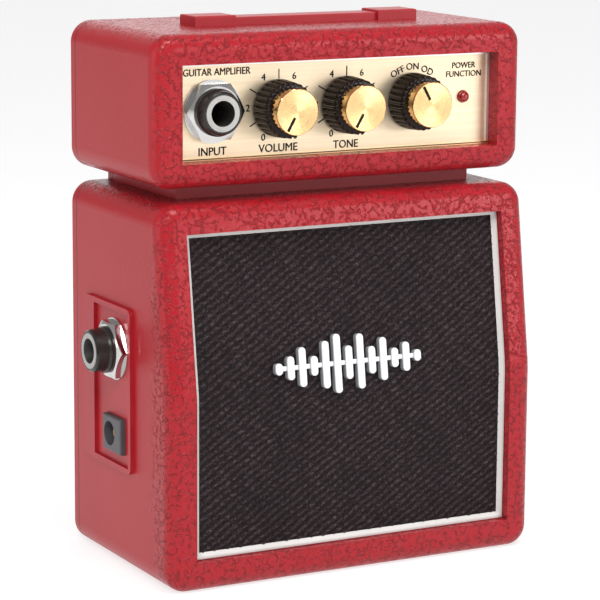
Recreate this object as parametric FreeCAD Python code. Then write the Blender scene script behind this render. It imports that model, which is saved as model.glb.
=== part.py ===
"""A pocket-size battery guitar amplifier: a small head with three knobs on a slant-front speaker cabinet.

Frame: millimetres, +Z up, -Y is the front, +X is the viewer's right. The origin is on the surface that the
cabinet stands on, in the middle of the cabinet's width and depth. Every piece is its own solid or group of
solids, in its own STEP file. All sizes are named here or worked out from the named ones.
"""
import FreeCAD
import Part
import math
import os

V = FreeCAD.Vector
X, Y, Z = V(1, 0, 0), V(0, 1, 0), V(0, 0, 1)

# ---- overall ----
BODY_WIDTH = 105.0
CABINET_DEPTH = 60.0
CABINET_HEIGHT = 96.0
NECK_HEIGHT = 3.6
HEAD_HEIGHT = 37.8
HEAD_SETBACK = 8.4          # head's front behind the cabinet's front
CORNER_RADIUS = 5.5         # seen from the front
FRONT_EDGE_RADIUS = 4.0
REAR_EDGE_RADIUS = 1.5
WALL = 2.5
REAR_SHELL_DEPTH = 4.0      # how far the rear shell reaches forward of the back
RUNNING_GAP = 0.05
FIT_GAP = 0.15

# ---- slanted front of the cabinet ----
KINK_HEIGHT = 48.8
SLANT_ANGLE = 8.35
KINK_RADIUS = 30.0
CABINET_FRONT_WALL = 3.0

# ---- grille ----
GRILLE_SIDE = 7.3           # red frame beside, above and under the grille opening
GRILLE_TOP = 7.0
GRILLE_BOTTOM = 7.8
TRIM_DEPTH = 2.2            # trim's face behind the cabinet's face
TRIM_WIDTH = 1.85
CLOTH_THICKNESS = 0.5
BAFFLE_THICKNESS = 2.0
BAFFLE_OVERLAP = 2.2

# ---- control panel ----
PANEL_SIDE = 7.5
PANEL_TOP = 7.4
PANEL_BOTTOM = 6.25
PANEL_DEPTH = 4.6           # panel's face behind the head's face
PANEL_THICKNESS = 1.5
PANEL_OVERLAP = 2.0
PANEL_TRIM_WIDTH = 0.8
PANEL_TRIM_THICKNESS = 0.45
CONTROL_RISE = 12.15        # axis of the controls above the panel opening's lower edge
CONTROL_PITCH = 19.25
VOLUME_X = -16.6
INPUT_X = -34.7
LED_X = 37.2
LED_RADIUS = 1.5
LED_RISE = 0.4              # above the axis of the controls

# ---- knobs and pots ----
KNOB_BASE_RADIUS = 7.25
KNOB_FRONT_RADIUS = 7.0
KNOB_HEIGHT = 6.7
KNOB_SHOULDER = 0.8
KNOB_GAP = 0.5
KNOB_FLUTES = 30
KNOB_FLUTE_RADIUS = 0.5
KNOB_HOLLOW_RADIUS = 6.0
KNOB_HOLLOW_DEPTH = 3.0
CAP_RADIUS = 5.8
CAP_HEIGHT = 3.4
CAP_SPIGOT_RADIUS = 4.0
CAP_SPIGOT_LENGTH = 1.0
POINTER_WIDTH = 0.8
POINTER_START, POINTER_END = 1.5, 5.4
POINTER_CUT = 0.25
SHAFT_RADIUS = 3.0
SHAFT_REACH = 5.5           # shaft's end in front of the panel
POT_RADIUS = 8.0
POT_LENGTH = 8.0
POT_WALL = 1.0
POT_BUSH_RADIUS = 3.6
POT_BUSH_REACH = 2.6        # bushing's end in front of the panel
POT_NUT_FLATS = 10.0
POT_NUT_THICKNESS = 1.8
DIAL_SWEEP = 300.0
SWITCH_STEP = 30.0

# ---- 6.35 mm jacks ----
JACK_BORE_RADIUS = 3.2
FERRULE_RADIUS = 3.9
FERRULE_FLANGE_RADIUS = 4.5
FERRULE_FLANGE = 0.8
FERRULE_LENGTH = 9.0
JACK_THREAD_RADIUS = 5.9
JACK_NOSE_RADIUS = 5.35
JACK_NUT_FLATS = 13.8
JACK_NUT_THICKNESS = 2.2
JACK_WASHER_RADIUS = 7.9
JACK_WASHER_THICKNESS = 0.5
JACK_BODY_WIDTH = 14.0
JACK_TOTAL_LENGTH = 30.0    # from the nose to the back of the body
JACK_CHAMBER_RADIUS = 3.7
INPUT_NOSE = 5.9
PHONES_NOSE = 7.4
LEAF_THICKNESS = 0.4
LEAF_WIDTH = 2.4
LEAF_TRAVEL_ROOM = 2.2

# ---- plate with the side jacks ----
SIDE_PLATE_FRONT_Y, SIDE_PLATE_BACK_Y = -8.7, 19.8
SIDE_PLATE_LOW_Z, SIDE_PLATE_HIGH_Z = 26.0, 68.3
SIDE_PLATE_PROUD = 1.0
SIDE_FIELD_RECESS = 0.9
SIDE_RIM = 1.4
SIDE_REAR_RIM = 6.5
SIDE_PLATE_LAP = 1.6        # flange over the cabinet's wall
SIDE_PLATE_CORNER = 2.0
PHONES_Y, PHONES_Z = 1.8, 56.8
DC_Z = 34.8
DC_BORE_Y = 2.75
DC_WIDTH, DC_HEIGHT = 10.6, 9.1
DC_BORE_OFFSET = 1.25       # bore from the block's middle, towards the back
DC_PROUD = 1.5
DC_LENGTH = 14.0
DC_BORE_RADIUS = 3.15
DC_BORE_DEPTH = 9.5
DC_PIN_RADIUS = 1.05
DC_PIN_LENGTH = 8.0
DC_PIN_ROOT_RADIUS = 0.8
DC_PIN_TAIL = 2.0           # behind the socket

# ---- handle ----
HANDLE_CAP_INNER_X, HANDLE_CAP_OUTER_X = 20.6, 32.0
HANDLE_FRONT_Y, HANDLE_BACK_Y = -1.8, 7.0
HANDLE_HEIGHT = 2.6
HANDLE_STRAP_STEP = 0.9     # strap behind the cap's front and back
HANDLE_STRAP_HEIGHT = 2.0
HANDLE_PIN_RADIUS = 1.6

# ---- neck between cabinet and head ----
NECK_HALF_WIDTH = 42.2
NECK_FRONT_Y = -11.6
WIRE_SLOT_HALF_WIDTH = 12.0
WIRE_SLOT_FRONT_Y, WIRE_SLOT_BACK_Y = 9.0, 19.0

# ---- speaker ----
SPEAKER_Z = 44.0
SPEAKER_RIM_RADIUS = 28.5
SPEAKER_RIM_WIDTH = 3.0
SPEAKER_SEAT_DEPTH = 10.0   # seat behind the cabinet's face
SPEAKER_SEAT_LEDGE = 2.5    # the rim's overlap with the seat
SURROUND_WIDTH = 4.0
CONE_EDGE = 0.8             # cone's rim behind the baffle's seat
COIL_RADIUS = 7.0
COIL_WALL = 0.4
CONE_WALL = 0.5
CONE_DEPTH = 8.0
MAGNET_RADIUS = 16.0
MAGNET_THICKNESS = 5.4
PLATE_THICKNESS = 2.0
POLE_GAP = 0.35
BASKET_DEPTH = 11.0
BASKET_WALL = 0.8
BASKET_FLOOR_RADIUS = 14.5
SPIDER_THICKNESS = 0.3
SPIDER_RADIUS = 13.3
SPIDER_FLANGE_RADIUS = 11.6
TERMINAL_RADIUS = 21.0

# ---- battery ----
BATTERY_LENGTH, BATTERY_HEIGHT, BATTERY_DEPTH = 46.4, 26.2, 17.2
BATTERY_TERMINAL = 2.1
BAY_HALF_LENGTH = 29.5
BAY_LOW_Z = 10.0
BAY_CLEARANCE = 2.4        # above the battery, for the door's latch
BAY_WALL = 1.2
HOOK_HALF_WIDTH = 3.0
HOOK_DEPTH = 4.0            # how far the hooks, the catch and the ribs reach in from the back
HOOK_DROP = 1.4
HOOK_ROOM = 0.5
LATCH_HALF_WIDTH = 7.0
BAY_DEPTH = 21.9
DOOR_THICKNESS = 2.0
DOOR_GAP = 0.3

# ---- belt clip ----
CLIP_HALF_WIDTH = 9.0
CLIP_AXIS_Y_OUT = 3.6       # pivot behind the back
CLIP_AXIS_Z = 88.0
CLIP_BASE_LOW_Z = 72.0
CLIP_BASE_HIGH_Z = 92.0
CLIP_SHEET = 1.0
CLIP_PIN_RADIUS = 1.0
CLIP_KNUCKLE_RADIUS = 2.2
CLIP_TIP_Z = 46.0
CLIP_GAP = 5.0

# ---- screws ----
BOSS_RADIUS = 3.2
BOSS_INSET_X = 5.5
SCREW_RADIUS = 1.4
SCREW_HEAD_RADIUS = 2.6
SCREW_HEAD_HEIGHT = 1.4

# ---- badge ----
BADGE_BARS = [3.0, 6.0, 10.0, 5.0, 12.0, 15.0, 8.5, 14.0, 7.0, 11.0, 5.0, 7.5, 3.0]
BADGE_PITCH = 3.35
BADGE_BAR_WIDTH = 1.7
BADGE_THICKNESS = 1.8
BADGE_ABOVE_KINK = 4.9
BADGE_X = -1.5

# ---- worked out ----
HALF = BODY_WIDTH / 2
FRONT_Y = -CABINET_DEPTH / 2
BACK_Y = CABINET_DEPTH / 2
SPLIT_Y = BACK_Y - REAR_SHELL_DEPTH
SPEAKER_SEAT_Y = FRONT_Y + SPEAKER_SEAT_DEPTH
SPEAKER_APERTURE_RADIUS = SPEAKER_RIM_RADIUS - SPEAKER_SEAT_LEDGE
CONE_RADIUS = SPEAKER_RIM_RADIUS - SPEAKER_RIM_WIDTH - SURROUND_WIDTH
HEAD_BASE = CABINET_HEIGHT + NECK_HEIGHT
HEAD_TOP = HEAD_BASE + HEAD_HEIGHT
HEAD_FRONT_Y = FRONT_Y + HEAD_SETBACK
PANEL_Y = HEAD_FRONT_Y + PANEL_DEPTH
PANEL_LOW_Z = HEAD_BASE + PANEL_BOTTOM
PANEL_HIGH_Z = HEAD_TOP - PANEL_TOP
PANEL_HALF = HALF - PANEL_SIDE
CONTROL_Z = PANEL_LOW_Z + CONTROL_RISE
LED_Z = CONTROL_Z + LED_RISE
TONE_X = VOLUME_X + CONTROL_PITCH
FUNCTION_X = TONE_X + CONTROL_PITCH
GRILLE_HALF = HALF - GRILLE_SIDE
GRILLE_LOW_Z = GRILLE_BOTTOM
GRILLE_HIGH_Z = CABINET_HEIGHT - GRILLE_TOP
BOSS_X = HALF - BOSS_INSET_X
BOSS_HEIGHTS = [8.2, CABINET_HEIGHT - 8.2]
HEAD_BOSS_Z = HEAD_TOP - 8.2
BOARD_TOP = HEAD_BASE + WALL + 3.1
BOARD_THICKNESS = 1.6
BOARD_HALF_WIDTH = 47.0
BAY_HIGH_Z = BAY_LOW_Z + BATTERY_HEIGHT + BAY_CLEARANCE


# ---- helpers ----
def box(x0, x1, y0, y1, z0, z1):
    """A block between two corners."""
    return Part.makeBox(x1 - x0, y1 - y0, z1 - z0, V(x0, y0, z0))


def rod(radius, length, base, direction):
    """A round bar that starts at base and runs along direction."""
    return Part.makeCylinder(radius, length, base, direction)


def ring(outer, inner, length, base, direction):
    """A round bar with a hole right through it."""
    hole = rod(inner, length + 2, base - direction * 1.0, direction)
    return rod(outer, length, base, direction).cut(hole)


def turned(points, base, direction):
    """A solid of revolution; points are (radius, distance along direction)."""
    profile = Part.makePolygon([V(r, 0, h) for r, h in points] + [V(points[0][0], 0, points[0][1])])
    solid = Part.Face(profile).revolve(V(0, 0, 0), Z, 360)
    solid.Placement = FreeCAD.Placement(base, FreeCAD.Rotation(Z, direction))
    return solid


def hexagon(flats, thickness, base, direction):
    """A six-sided nut blank with its corners turned off."""
    corner = flats / math.sqrt(3)
    ends = [V(corner * math.cos(math.radians(60 * i)), corner * math.sin(math.radians(60 * i)), 0)
            for i in range(7)]
    blank = Part.Face(Part.makePolygon(ends)).extrude(Z * thickness)
    chamfer = 0.12 * flats
    cone = turned([(0, 0), (corner + 0.1, 0), (corner + 0.1, thickness - chamfer * 0.5),
                   (corner + 0.1 - chamfer, thickness), (0, thickness)], V(0, 0, 0), Z)
    nut = blank.common(cone)
    nut.Placement = FreeCAD.Placement(base, FreeCAD.Rotation(Z, direction))
    return nut


def joined(first, *others):
    """One solid from several that touch."""
    return first.multiFuse(list(others)).removeSplitter()


def slab(half_width, z0, z1, y0, y1, radius):
    """A block along Y whose outline, seen from the front, has round corners."""
    block = box(-half_width, half_width, y0, y1, z0, z1)
    along_y = [e for e in block.Edges if abs(e.tangentAt(e.FirstParameter).y) > 0.9]
    return block.makeFillet(radius, along_y)


def front_line(depth, z0, z1):
    """Edges of the cabinet's front outline, upwards from z0 to z1, moved back by depth."""
    slope = math.tan(math.radians(SLANT_ANGLE))
    y = FRONT_Y + depth
    reach = KINK_RADIUS * math.tan(math.radians(SLANT_ANGLE / 2))
    low = V(0, y, KINK_HEIGHT - reach)
    high = V(0, y + reach * math.sin(math.radians(SLANT_ANGLE)),
             KINK_HEIGHT + reach * math.cos(math.radians(SLANT_ANGLE)))
    half = math.radians(SLANT_ANGLE / 2)
    middle = V(0, y + KINK_RADIUS * (1 - math.cos(half)), low.z + KINK_RADIUS * math.sin(half))
    top = V(0, y + (z1 - KINK_HEIGHT) * slope, z1)
    return [Part.makeLine(V(0, y, z0), low), Part.Arc(low, middle, high).toShape(), Part.makeLine(high, top)]


def front_sheet(half_width, z0, z1, depth, thickness):
    """A sheet that follows the slanted front, from depth to depth + thickness behind the cabinet's face."""
    outer, inner = front_line(depth, z0, z1), front_line(depth + thickness, z0, z1)
    ends = [Part.makeLine(outer[-1].Vertexes[1].Point, inner[-1].Vertexes[1].Point),
            Part.makeLine(inner[0].Vertexes[0].Point, outer[0].Vertexes[0].Point)]
    wire = Part.Wire(Part.__sortEdges__(outer + inner + ends))
    face = Part.Face(wire)
    face.translate(V(-half_width, 0, 0))
    return face.extrude(X * (2 * half_width))


def front_region(half_width, z0, z1, depth, back_y):
    """Everything behind the slanted front as far as back_y."""
    outer = front_line(depth, z0, z1)
    low, high = outer[0].Vertexes[0].Point, outer[-1].Vertexes[1].Point
    rest = Part.makePolygon([high, V(0, back_y, z1), V(0, back_y, z0), low])
    face = Part.Face(Part.Wire(Part.__sortEdges__(outer + rest.Edges)))
    face.translate(V(-half_width, 0, 0))
    return face.extrude(X * (2 * half_width))


def round_front_edges(solid, radius, is_front):
    """Rounds every edge of the faces for which is_front says yes, apart from those between two of them."""
    faces = [f for f in solid.Faces if is_front(f)]
    shared = {}
    for face in faces:
        for edge in face.Edges:
            found = [k for k in shared if k.isSame(edge)]
            key = found[0] if found else edge
            shared[key] = shared.get(key, 0) + 1
    return solid.makeFillet(radius, [edge for edge, count in shared.items() if count == 1])


def boss_places():
    """Where the rear shell's six screws go: x, z and how far forward each boss starts."""
    cabinet = [(side * BOSS_X, z) for z in BOSS_HEIGHTS for side in (-1, 1)]
    head = [(side * BOSS_X, HEAD_BOSS_Z) for side in (-1, 1)]
    return cabinet, head


# ---- shells ----
def cabinet_shell():
    """The cabinet: floor, top, sides and the front frame, open at the back."""
    outer = slab(HALF, 0, CABINET_HEIGHT, FRONT_Y - 1, SPLIT_Y, CORNER_RADIUS)
    outer = outer.common(front_region(HALF + 1, -1, CABINET_HEIGHT + 1, 0, SPLIT_Y))
    outer = round_front_edges(outer, FRONT_EDGE_RADIUS, faces_front)
    room = slab(HALF - WALL, WALL, CABINET_HEIGHT - WALL, FRONT_Y - 1, SPLIT_Y + 1, CORNER_RADIUS - WALL)
    room = room.common(front_region(HALF, 0, CABINET_HEIGHT, CABINET_FRONT_WALL, SPLIT_Y + 1))
    shell = outer.cut(room)
    shell = shell.cut(box(-GRILLE_HALF, GRILLE_HALF, FRONT_Y - 1, 0, GRILLE_LOW_Z, GRILLE_HIGH_Z))
    bosses = []
    for x, z in boss_places()[0]:
        start = SPEAKER_SEAT_Y + 6
        boss = ring(BOSS_RADIUS, SCREW_RADIUS - 0.1, SPLIT_Y - start, V(x, start, z), Y)
        rib_z = (z - BOSS_RADIUS, z) if z < CABINET_HEIGHT / 2 else (z, z + BOSS_RADIUS)
        side = 1 if x > 0 else -1
        rib = box(min(x, side * (HALF - WALL / 2)), max(x, side * (HALF - WALL / 2)), start, SPLIT_Y,
                  rib_z[0] + BOSS_RADIUS / 2, rib_z[1] - BOSS_RADIUS / 2 + 0.8)
        rib = rib.cut(rod(BOSS_RADIUS - 0.5, SPLIT_Y - start + 2, V(x, start - 1, z), Y))
        bosses += [boss, rib]
    shell = joined(shell, *bosses)
    lap = SIDE_PLATE_LAP
    shell = shell.cut(box(-HALF - 1, -HALF + WALL + 1, SIDE_PLATE_FRONT_Y + lap, SIDE_PLATE_BACK_Y - lap,
                          SIDE_PLATE_LOW_Z + lap, SIDE_PLATE_HIGH_Z - lap))
    return shell.cut(wire_slot(CABINET_HEIGHT - WALL - 1, CABINET_HEIGHT + 1)).cut(neck_screw_holes())


def faces_front(face):
    """True for the faces that make up the front: they look towards -Y, or nearly."""
    u0, u1, v0, v1 = face.ParameterRange
    return face.normalAt((u0 + u1) / 2, (v0 + v1) / 2).y < -0.9


def wire_slot(z0, z1):
    """The passage for the wires between the cabinet and the head."""
    return box(-WIRE_SLOT_HALF_WIDTH, WIRE_SLOT_HALF_WIDTH, WIRE_SLOT_FRONT_Y, WIRE_SLOT_BACK_Y, z0, z1)


def neck_screw_places():
    """The four screws that hold cabinet, neck and head together."""
    return [V(sx * (NECK_HALF_WIDTH - 8), y, CABINET_HEIGHT - WALL) for sx in (-1, 1)
            for y in (NECK_FRONT_Y + 6, SPLIT_Y - 8)]


def neck_screw_holes():
    """Clearance holes for the neck screws, as one compound."""
    length = NECK_HEIGHT + 2 * WALL
    return Part.makeCompound([rod(SCREW_RADIUS + 0.1, length + 1, p - Z * 0.5, Z) for p in neck_screw_places()])


def neck_spacer():
    """The low plinth, set in all round, that carries the head."""
    block = box(-NECK_HALF_WIDTH, NECK_HALF_WIDTH, NECK_FRONT_Y, SPLIT_Y, CABINET_HEIGHT, HEAD_BASE)
    return block.cut(wire_slot(CABINET_HEIGHT - 1, HEAD_BASE + 1)).cut(neck_screw_holes())


def neck_screws():
    """Four screws from inside the cabinet, up through the neck into the head's floor."""
    length = NECK_HEIGHT + 2 * WALL
    made = []
    for place in neck_screw_places():
        head = rod(SCREW_HEAD_RADIUS, SCREW_HEAD_HEIGHT, place - Z * SCREW_HEAD_HEIGHT, Z)
        made.append(joined(head, rod(SCREW_RADIUS, length, place, Z)))
    return Part.makeCompound(made)


def head_shell():
    """The head: a box open at the back, with the deep window for the control panel."""
    outer = slab(HALF, HEAD_BASE, HEAD_TOP, HEAD_FRONT_Y, SPLIT_Y, CORNER_RADIUS)
    outer = round_front_edges(outer, FRONT_EDGE_RADIUS, faces_front)
    room = slab(HALF - WALL, HEAD_BASE + WALL, HEAD_TOP - WALL, PANEL_Y, SPLIT_Y + 1, CORNER_RADIUS - WALL)
    shell = outer.cut(room)
    shell = shell.cut(box(-PANEL_HALF, PANEL_HALF, HEAD_FRONT_Y - 1, PANEL_Y + 1, PANEL_LOW_Z, PANEL_HIGH_Z))
    bosses = []
    for x, z in boss_places()[1]:
        start = PANEL_Y + PANEL_THICKNESS + 4
        boss = ring(BOSS_RADIUS, SCREW_RADIUS - 0.1, SPLIT_Y - start, V(x, start, z), Y)
        side = 1 if x > 0 else -1
        wall = side * (HALF - WALL / 2)
        rib = box(min(x, wall), max(x, wall), start, SPLIT_Y, z - 0.8, z + 0.8)
        rib = rib.cut(rod(BOSS_RADIUS - 0.5, SPLIT_Y - start + 2, V(x, start - 1, z), Y))
        bosses += [boss, rib]
    posts = [rod(BOSS_RADIUS, BOARD_TOP - BOARD_THICKNESS - HEAD_BASE - WALL / 2,
                 V(p.x, p.y, HEAD_BASE + WALL / 2), Z) for p in board_screw_places()]
    shell = joined(shell, *(bosses + posts))
    for p in board_screw_places():
        shell = shell.cut(rod(SCREW_RADIUS, 10, V(p.x, p.y, HEAD_BASE + 1.2), Z))
    for sx in (-1, 1):
        x = sx * (HANDLE_CAP_INNER_X + HANDLE_CAP_OUTER_X) / 2
        hole = rod(HANDLE_PIN_RADIUS + FIT_GAP, WALL + 2, V(x, handle_middle_y(), HEAD_TOP - WALL - 1), Z)
        shell = shell.cut(hole)
    return shell.cut(wire_slot(HEAD_BASE - 1, HEAD_BASE + WALL + 1)).cut(neck_screw_holes())


def cover_block(half_width, z0, z1, corner, edge):
    """One part of the rear shell's outside, with its back edge rounded."""
    block = slab(half_width, z0, z1, SPLIT_Y, BACK_Y, corner)
    back = [f for f in block.Faces if f.normalAt(0, 0).y > 0.9][0]
    return block.makeFillet(edge, back.Edges)


def locating_lip(half_width, z0, z1):
    """A thin ring that steps into the open back of a front shell."""
    inset = WALL + FIT_GAP
    outer = slab(half_width - inset, z0 + inset, z1 - inset, SPLIT_Y - 2, SPLIT_Y + 2, CORNER_RADIUS - WALL)
    inset += 1.0
    corner = CORNER_RADIUS - WALL - 1
    inner = slab(half_width - inset, z0 + inset, z1 - inset, SPLIT_Y - 3, SPLIT_Y + 3, corner)
    return outer.cut(inner)


def rear_shell():
    """The back of head, neck and cabinet in one moulding, with the battery bay."""
    outside = joined(cover_block(HALF, 0, CABINET_HEIGHT, CORNER_RADIUS, REAR_EDGE_RADIUS),
                     cover_block(HALF, HEAD_BASE, HEAD_TOP, CORNER_RADIUS, REAR_EDGE_RADIUS),
                     box(-NECK_HALF_WIDTH, NECK_HALF_WIDTH, SPLIT_Y, BACK_Y - 1,
                         CABINET_HEIGHT - 1, HEAD_BASE + 1))
    inner_y = BACK_Y - WALL
    rooms = [slab(HALF - WALL, WALL, CABINET_HEIGHT - WALL, SPLIT_Y - 1, inner_y, CORNER_RADIUS - WALL),
             slab(HALF - WALL, HEAD_BASE + WALL, HEAD_TOP - WALL, SPLIT_Y - 1, inner_y, CORNER_RADIUS - WALL)]
    shell = outside.cut(Part.makeCompound(rooms))
    shell = joined(shell, locating_lip(HALF, 0, CABINET_HEIGHT), locating_lip(HALF, HEAD_BASE, HEAD_TOP))
    for x, z in boss_places()[0] + boss_places()[1]:
        shell = shell.cut(rod(BOSS_RADIUS + 0.4, 3, V(x, SPLIT_Y - 3, z), Y))
        shell = shell.cut(box(min(x, x * 1.2), max(x, x * 1.2), SPLIT_Y - 3, SPLIT_Y,
                              z - BOSS_RADIUS - 0.4, z + BOSS_RADIUS + 0.4))
        pillar = rod(BOSS_RADIUS, inner_y - SPLIT_Y + 0.5, V(x, SPLIT_Y, z), Y)
        shell = shell.fuse(pillar)
        shell = shell.cut(rod(SCREW_RADIUS + 0.2, 12, V(x, SPLIT_Y - 4, z), Y))
        shell = shell.cut(rod(SCREW_HEAD_RADIUS + 0.3, 5, V(x, BACK_Y - SCREW_HEAD_HEIGHT - 0.4, z), Y))
    half, deep = BAY_HALF_LENGTH, BACK_Y - BAY_DEPTH
    shell = shell.fuse(box(-half - BAY_WALL, half + BAY_WALL, deep - BAY_WALL, inner_y + 0.5,
                           BAY_LOW_Z - BAY_WALL, BAY_HIGH_Z + BAY_WALL))
    shell = shell.cut(box(-half, half, deep, BACK_Y + 1, BAY_LOW_Z, BAY_HIGH_Z))
    for x in hook_places():
        reach = HOOK_HALF_WIDTH + HOOK_ROOM
        shell = shell.cut(box(x - reach, x + reach, BACK_Y - 2 * HOOK_DEPTH, inner_y,
                              BAY_LOW_Z - HOOK_DROP - 2 * HOOK_ROOM, BAY_LOW_Z + 0.1))
    lead_y = BACK_Y - BAY_DEPTH + 4
    lead_z = BAY_HIGH_Z - 8
    shell = shell.cut(box(-BAY_HALF_LENGTH - BAY_WALL - 1, -BAY_HALF_LENGTH + 1, lead_y, lead_y + 8,
                          lead_z, lead_z + 5))
    for z in clip_screw_heights():
        shell = shell.fuse(rod(BOSS_RADIUS, 5, V(0, inner_y - 5, z), Y))
        shell = shell.cut(rod(SCREW_RADIUS, 12, V(0, inner_y - 4, z), Y))
    return shell.removeSplitter()


def hook_places():
    """Where the battery door's two hooks are, along X."""
    return (-BAY_HALF_LENGTH / 2, BAY_HALF_LENGTH / 2)


def case_screws():
    """Six screws through the rear shell into the bosses of cabinet and head, and the belt clip's two."""
    made = []
    seat = BACK_Y - SCREW_HEAD_HEIGHT - 0.4
    for x, z in boss_places()[0] + boss_places()[1]:
        head = turned([(0, 0), (SCREW_HEAD_RADIUS, 0), (SCREW_HEAD_RADIUS, SCREW_HEAD_HEIGHT * 0.5),
                       (SCREW_HEAD_RADIUS * 0.6, SCREW_HEAD_HEIGHT), (0, SCREW_HEAD_HEIGHT)], V(x, seat, z), Y)
        shank = rod(SCREW_RADIUS - 0.1, 11.5, V(x, seat - 11.5, z), Y)
        made.append(cross_slot(joined(head, shank), V(x, seat + SCREW_HEAD_HEIGHT, z)))
    return Part.makeCompound(made)


def cross_slot(screw, top):
    """Cuts a cross recess into a screw's head that looks towards +Y."""
    for dx, dz in ((1.5, 0.35), (0.35, 1.5)):
        screw = screw.cut(box(top.x - dx, top.x + dx, top.y - 0.8, top.y + 1, top.z - dz, top.z + dz))
    return screw


# ---- handle ----
def handle_middle_y():
    """The line that the handle lies on."""
    return (HANDLE_FRONT_Y + HANDLE_BACK_Y) / 2


def handle_end_caps():
    """Two low blocks on the head's top, each with a pin through the shell."""
    made = []
    for sx in (-1, 1):
        x0, x1 = sorted((sx * HANDLE_CAP_INNER_X, sx * HANDLE_CAP_OUTER_X))
        cap = box(x0, x1, HANDLE_FRONT_Y, HANDLE_BACK_Y, HEAD_TOP, HEAD_TOP + HANDLE_HEIGHT)
        cap = cap.makeFillet(0.4, [e for e in cap.Edges if e.BoundBox.ZMin > HEAD_TOP + HANDLE_HEIGHT - 0.1])
        pin = rod(HANDLE_PIN_RADIUS, WALL, V((x0 + x1) / 2, handle_middle_y(), HEAD_TOP - WALL), Z)
        cap = joined(cap, pin)
        made.append(cap.cut(strap_block(0.0)))
    return Part.makeCompound(made)


def strap_block(gap):
    """The flat strap, whose ends step into the caps; gap is taken off its length."""
    reach = HANDLE_CAP_INNER_X + 3.0 - gap
    return box(-reach, reach, HANDLE_FRONT_Y + HANDLE_STRAP_STEP, HANDLE_BACK_Y - HANDLE_STRAP_STEP,
               HEAD_TOP, HEAD_TOP + HANDLE_STRAP_HEIGHT)


def handle_strap():
    """The strap that lies on the head between the two caps."""
    strap = strap_block(FIT_GAP)
    top = [e for e in strap.Edges if e.BoundBox.ZMin > HEAD_TOP + HANDLE_STRAP_HEIGHT - 0.1]
    return strap.makeFillet(0.3, [e for e in top if abs(e.tangentAt(e.FirstParameter).x) > 0.9])


# ---- grille ----
def grille_trim():
    """The pale frame that lines the grille opening."""
    fit = FIT_GAP / 2
    outer = front_sheet(GRILLE_HALF - fit, GRILLE_LOW_Z + fit, GRILLE_HIGH_Z - fit,
                        TRIM_DEPTH, CABINET_FRONT_WALL - TRIM_DEPTH)
    w = TRIM_WIDTH
    return outer.cut(box(-GRILLE_HALF + w, GRILLE_HALF - w, FRONT_Y, 0, GRILLE_LOW_Z + w, GRILLE_HIGH_Z - w))


def grille_cloth():
    """The cloth on the baffle's face, held behind the front frame."""
    lap = BAFFLE_OVERLAP
    return front_sheet(GRILLE_HALF + lap, GRILLE_LOW_Z - lap, GRILLE_HIGH_Z + lap,
                       CABINET_FRONT_WALL, CLOTH_THICKNESS)


def speaker_baffle():
    """The stiff panel under the cloth, with the speaker's opening and its flat seat behind."""
    depth = CABINET_FRONT_WALL + CLOTH_THICKNESS
    lap, top = BAFFLE_OVERLAP, GRILLE_HIGH_Z + BAFFLE_OVERLAP
    plate = front_sheet(GRILLE_HALF + lap, GRILLE_LOW_Z - lap, top, depth, BAFFLE_THICKNESS)
    middle = V(0, FRONT_Y, SPEAKER_Z)
    seat = rod(SPEAKER_RIM_RADIUS, SPEAKER_SEAT_Y - FRONT_Y, middle, Y)
    reach = SPEAKER_SEAT_Y - FRONT_Y + 1.0
    pillars = [rod(2.6, reach, V(p.x, FRONT_Y, p.z), Y) for p in speaker_screw_places()]
    behind = front_region(GRILLE_HALF, GRILLE_LOW_Z, top - 1, depth + BAFFLE_THICKNESS / 2, BACK_Y)
    pads = joined(seat, *pillars).common(behind)
    baffle = joined(plate, pads)
    baffle = baffle.cut(rod(SPEAKER_RIM_RADIUS + 0.2, 5, V(0, SPEAKER_SEAT_Y, SPEAKER_Z), Y))
    baffle = baffle.cut(rod(SPEAKER_APERTURE_RADIUS, 30, middle - Y, Y))
    for p in speaker_screw_places():
        baffle = baffle.cut(rod(SCREW_RADIUS - 0.1, 6, V(p.x, SPEAKER_SEAT_Y - 4, p.z), Y))
    return baffle


def speaker_screw_places():
    """Four screws on the diagonals, just outside the speaker's rim."""
    r = SPEAKER_RIM_RADIUS + 1.9
    return [V(r * math.cos(math.radians(a)), SPEAKER_SEAT_Y + 1.0, SPEAKER_Z + r * math.sin(math.radians(a)))
            for a in (45, 135, 225, 315)]


def speaker_screws():
    """The screws whose heads clamp the speaker's rim to the baffle."""
    made = []
    for p in speaker_screw_places():
        made.append(joined(rod(2.8, 1.2, p, Y), rod(SCREW_RADIUS - 0.1, 3.8, p, Y * -1)))
    return Part.makeCompound(made)


def front_badge():
    """A moulded badge: a row of round-ended bars on a thin spine, standing on the cloth of the slanted part."""
    bars = []
    radius = BADGE_BAR_WIDTH / 2
    first = -(len(BADGE_BARS) - 1) / 2 * BADGE_PITCH
    for i, height in enumerate(BADGE_BARS):
        x, reach = first + i * BADGE_PITCH, max(height / 2 - radius, 0.1)
        bar = box(x - radius, x + radius, -BADGE_THICKNESS, 0, -reach, reach)
        ends = [rod(radius, BADGE_THICKNESS, V(x, -BADGE_THICKNESS, s * reach), Y) for s in (-1, 1)]
        bars += [bar] + ends
    spine = box(first, -first, -BADGE_THICKNESS * 0.6, 0, -0.6, 0.6)
    badge = joined(spine, *bars)
    badge.rotate(V(0, 0, 0), X, -SLANT_ANGLE)
    slope = math.tan(math.radians(SLANT_ANGLE))
    badge.translate(V(BADGE_X, FRONT_Y + CABINET_FRONT_WALL + BADGE_ABOVE_KINK * slope,
                      KINK_HEIGHT + BADGE_ABOVE_KINK))
    return badge


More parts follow.
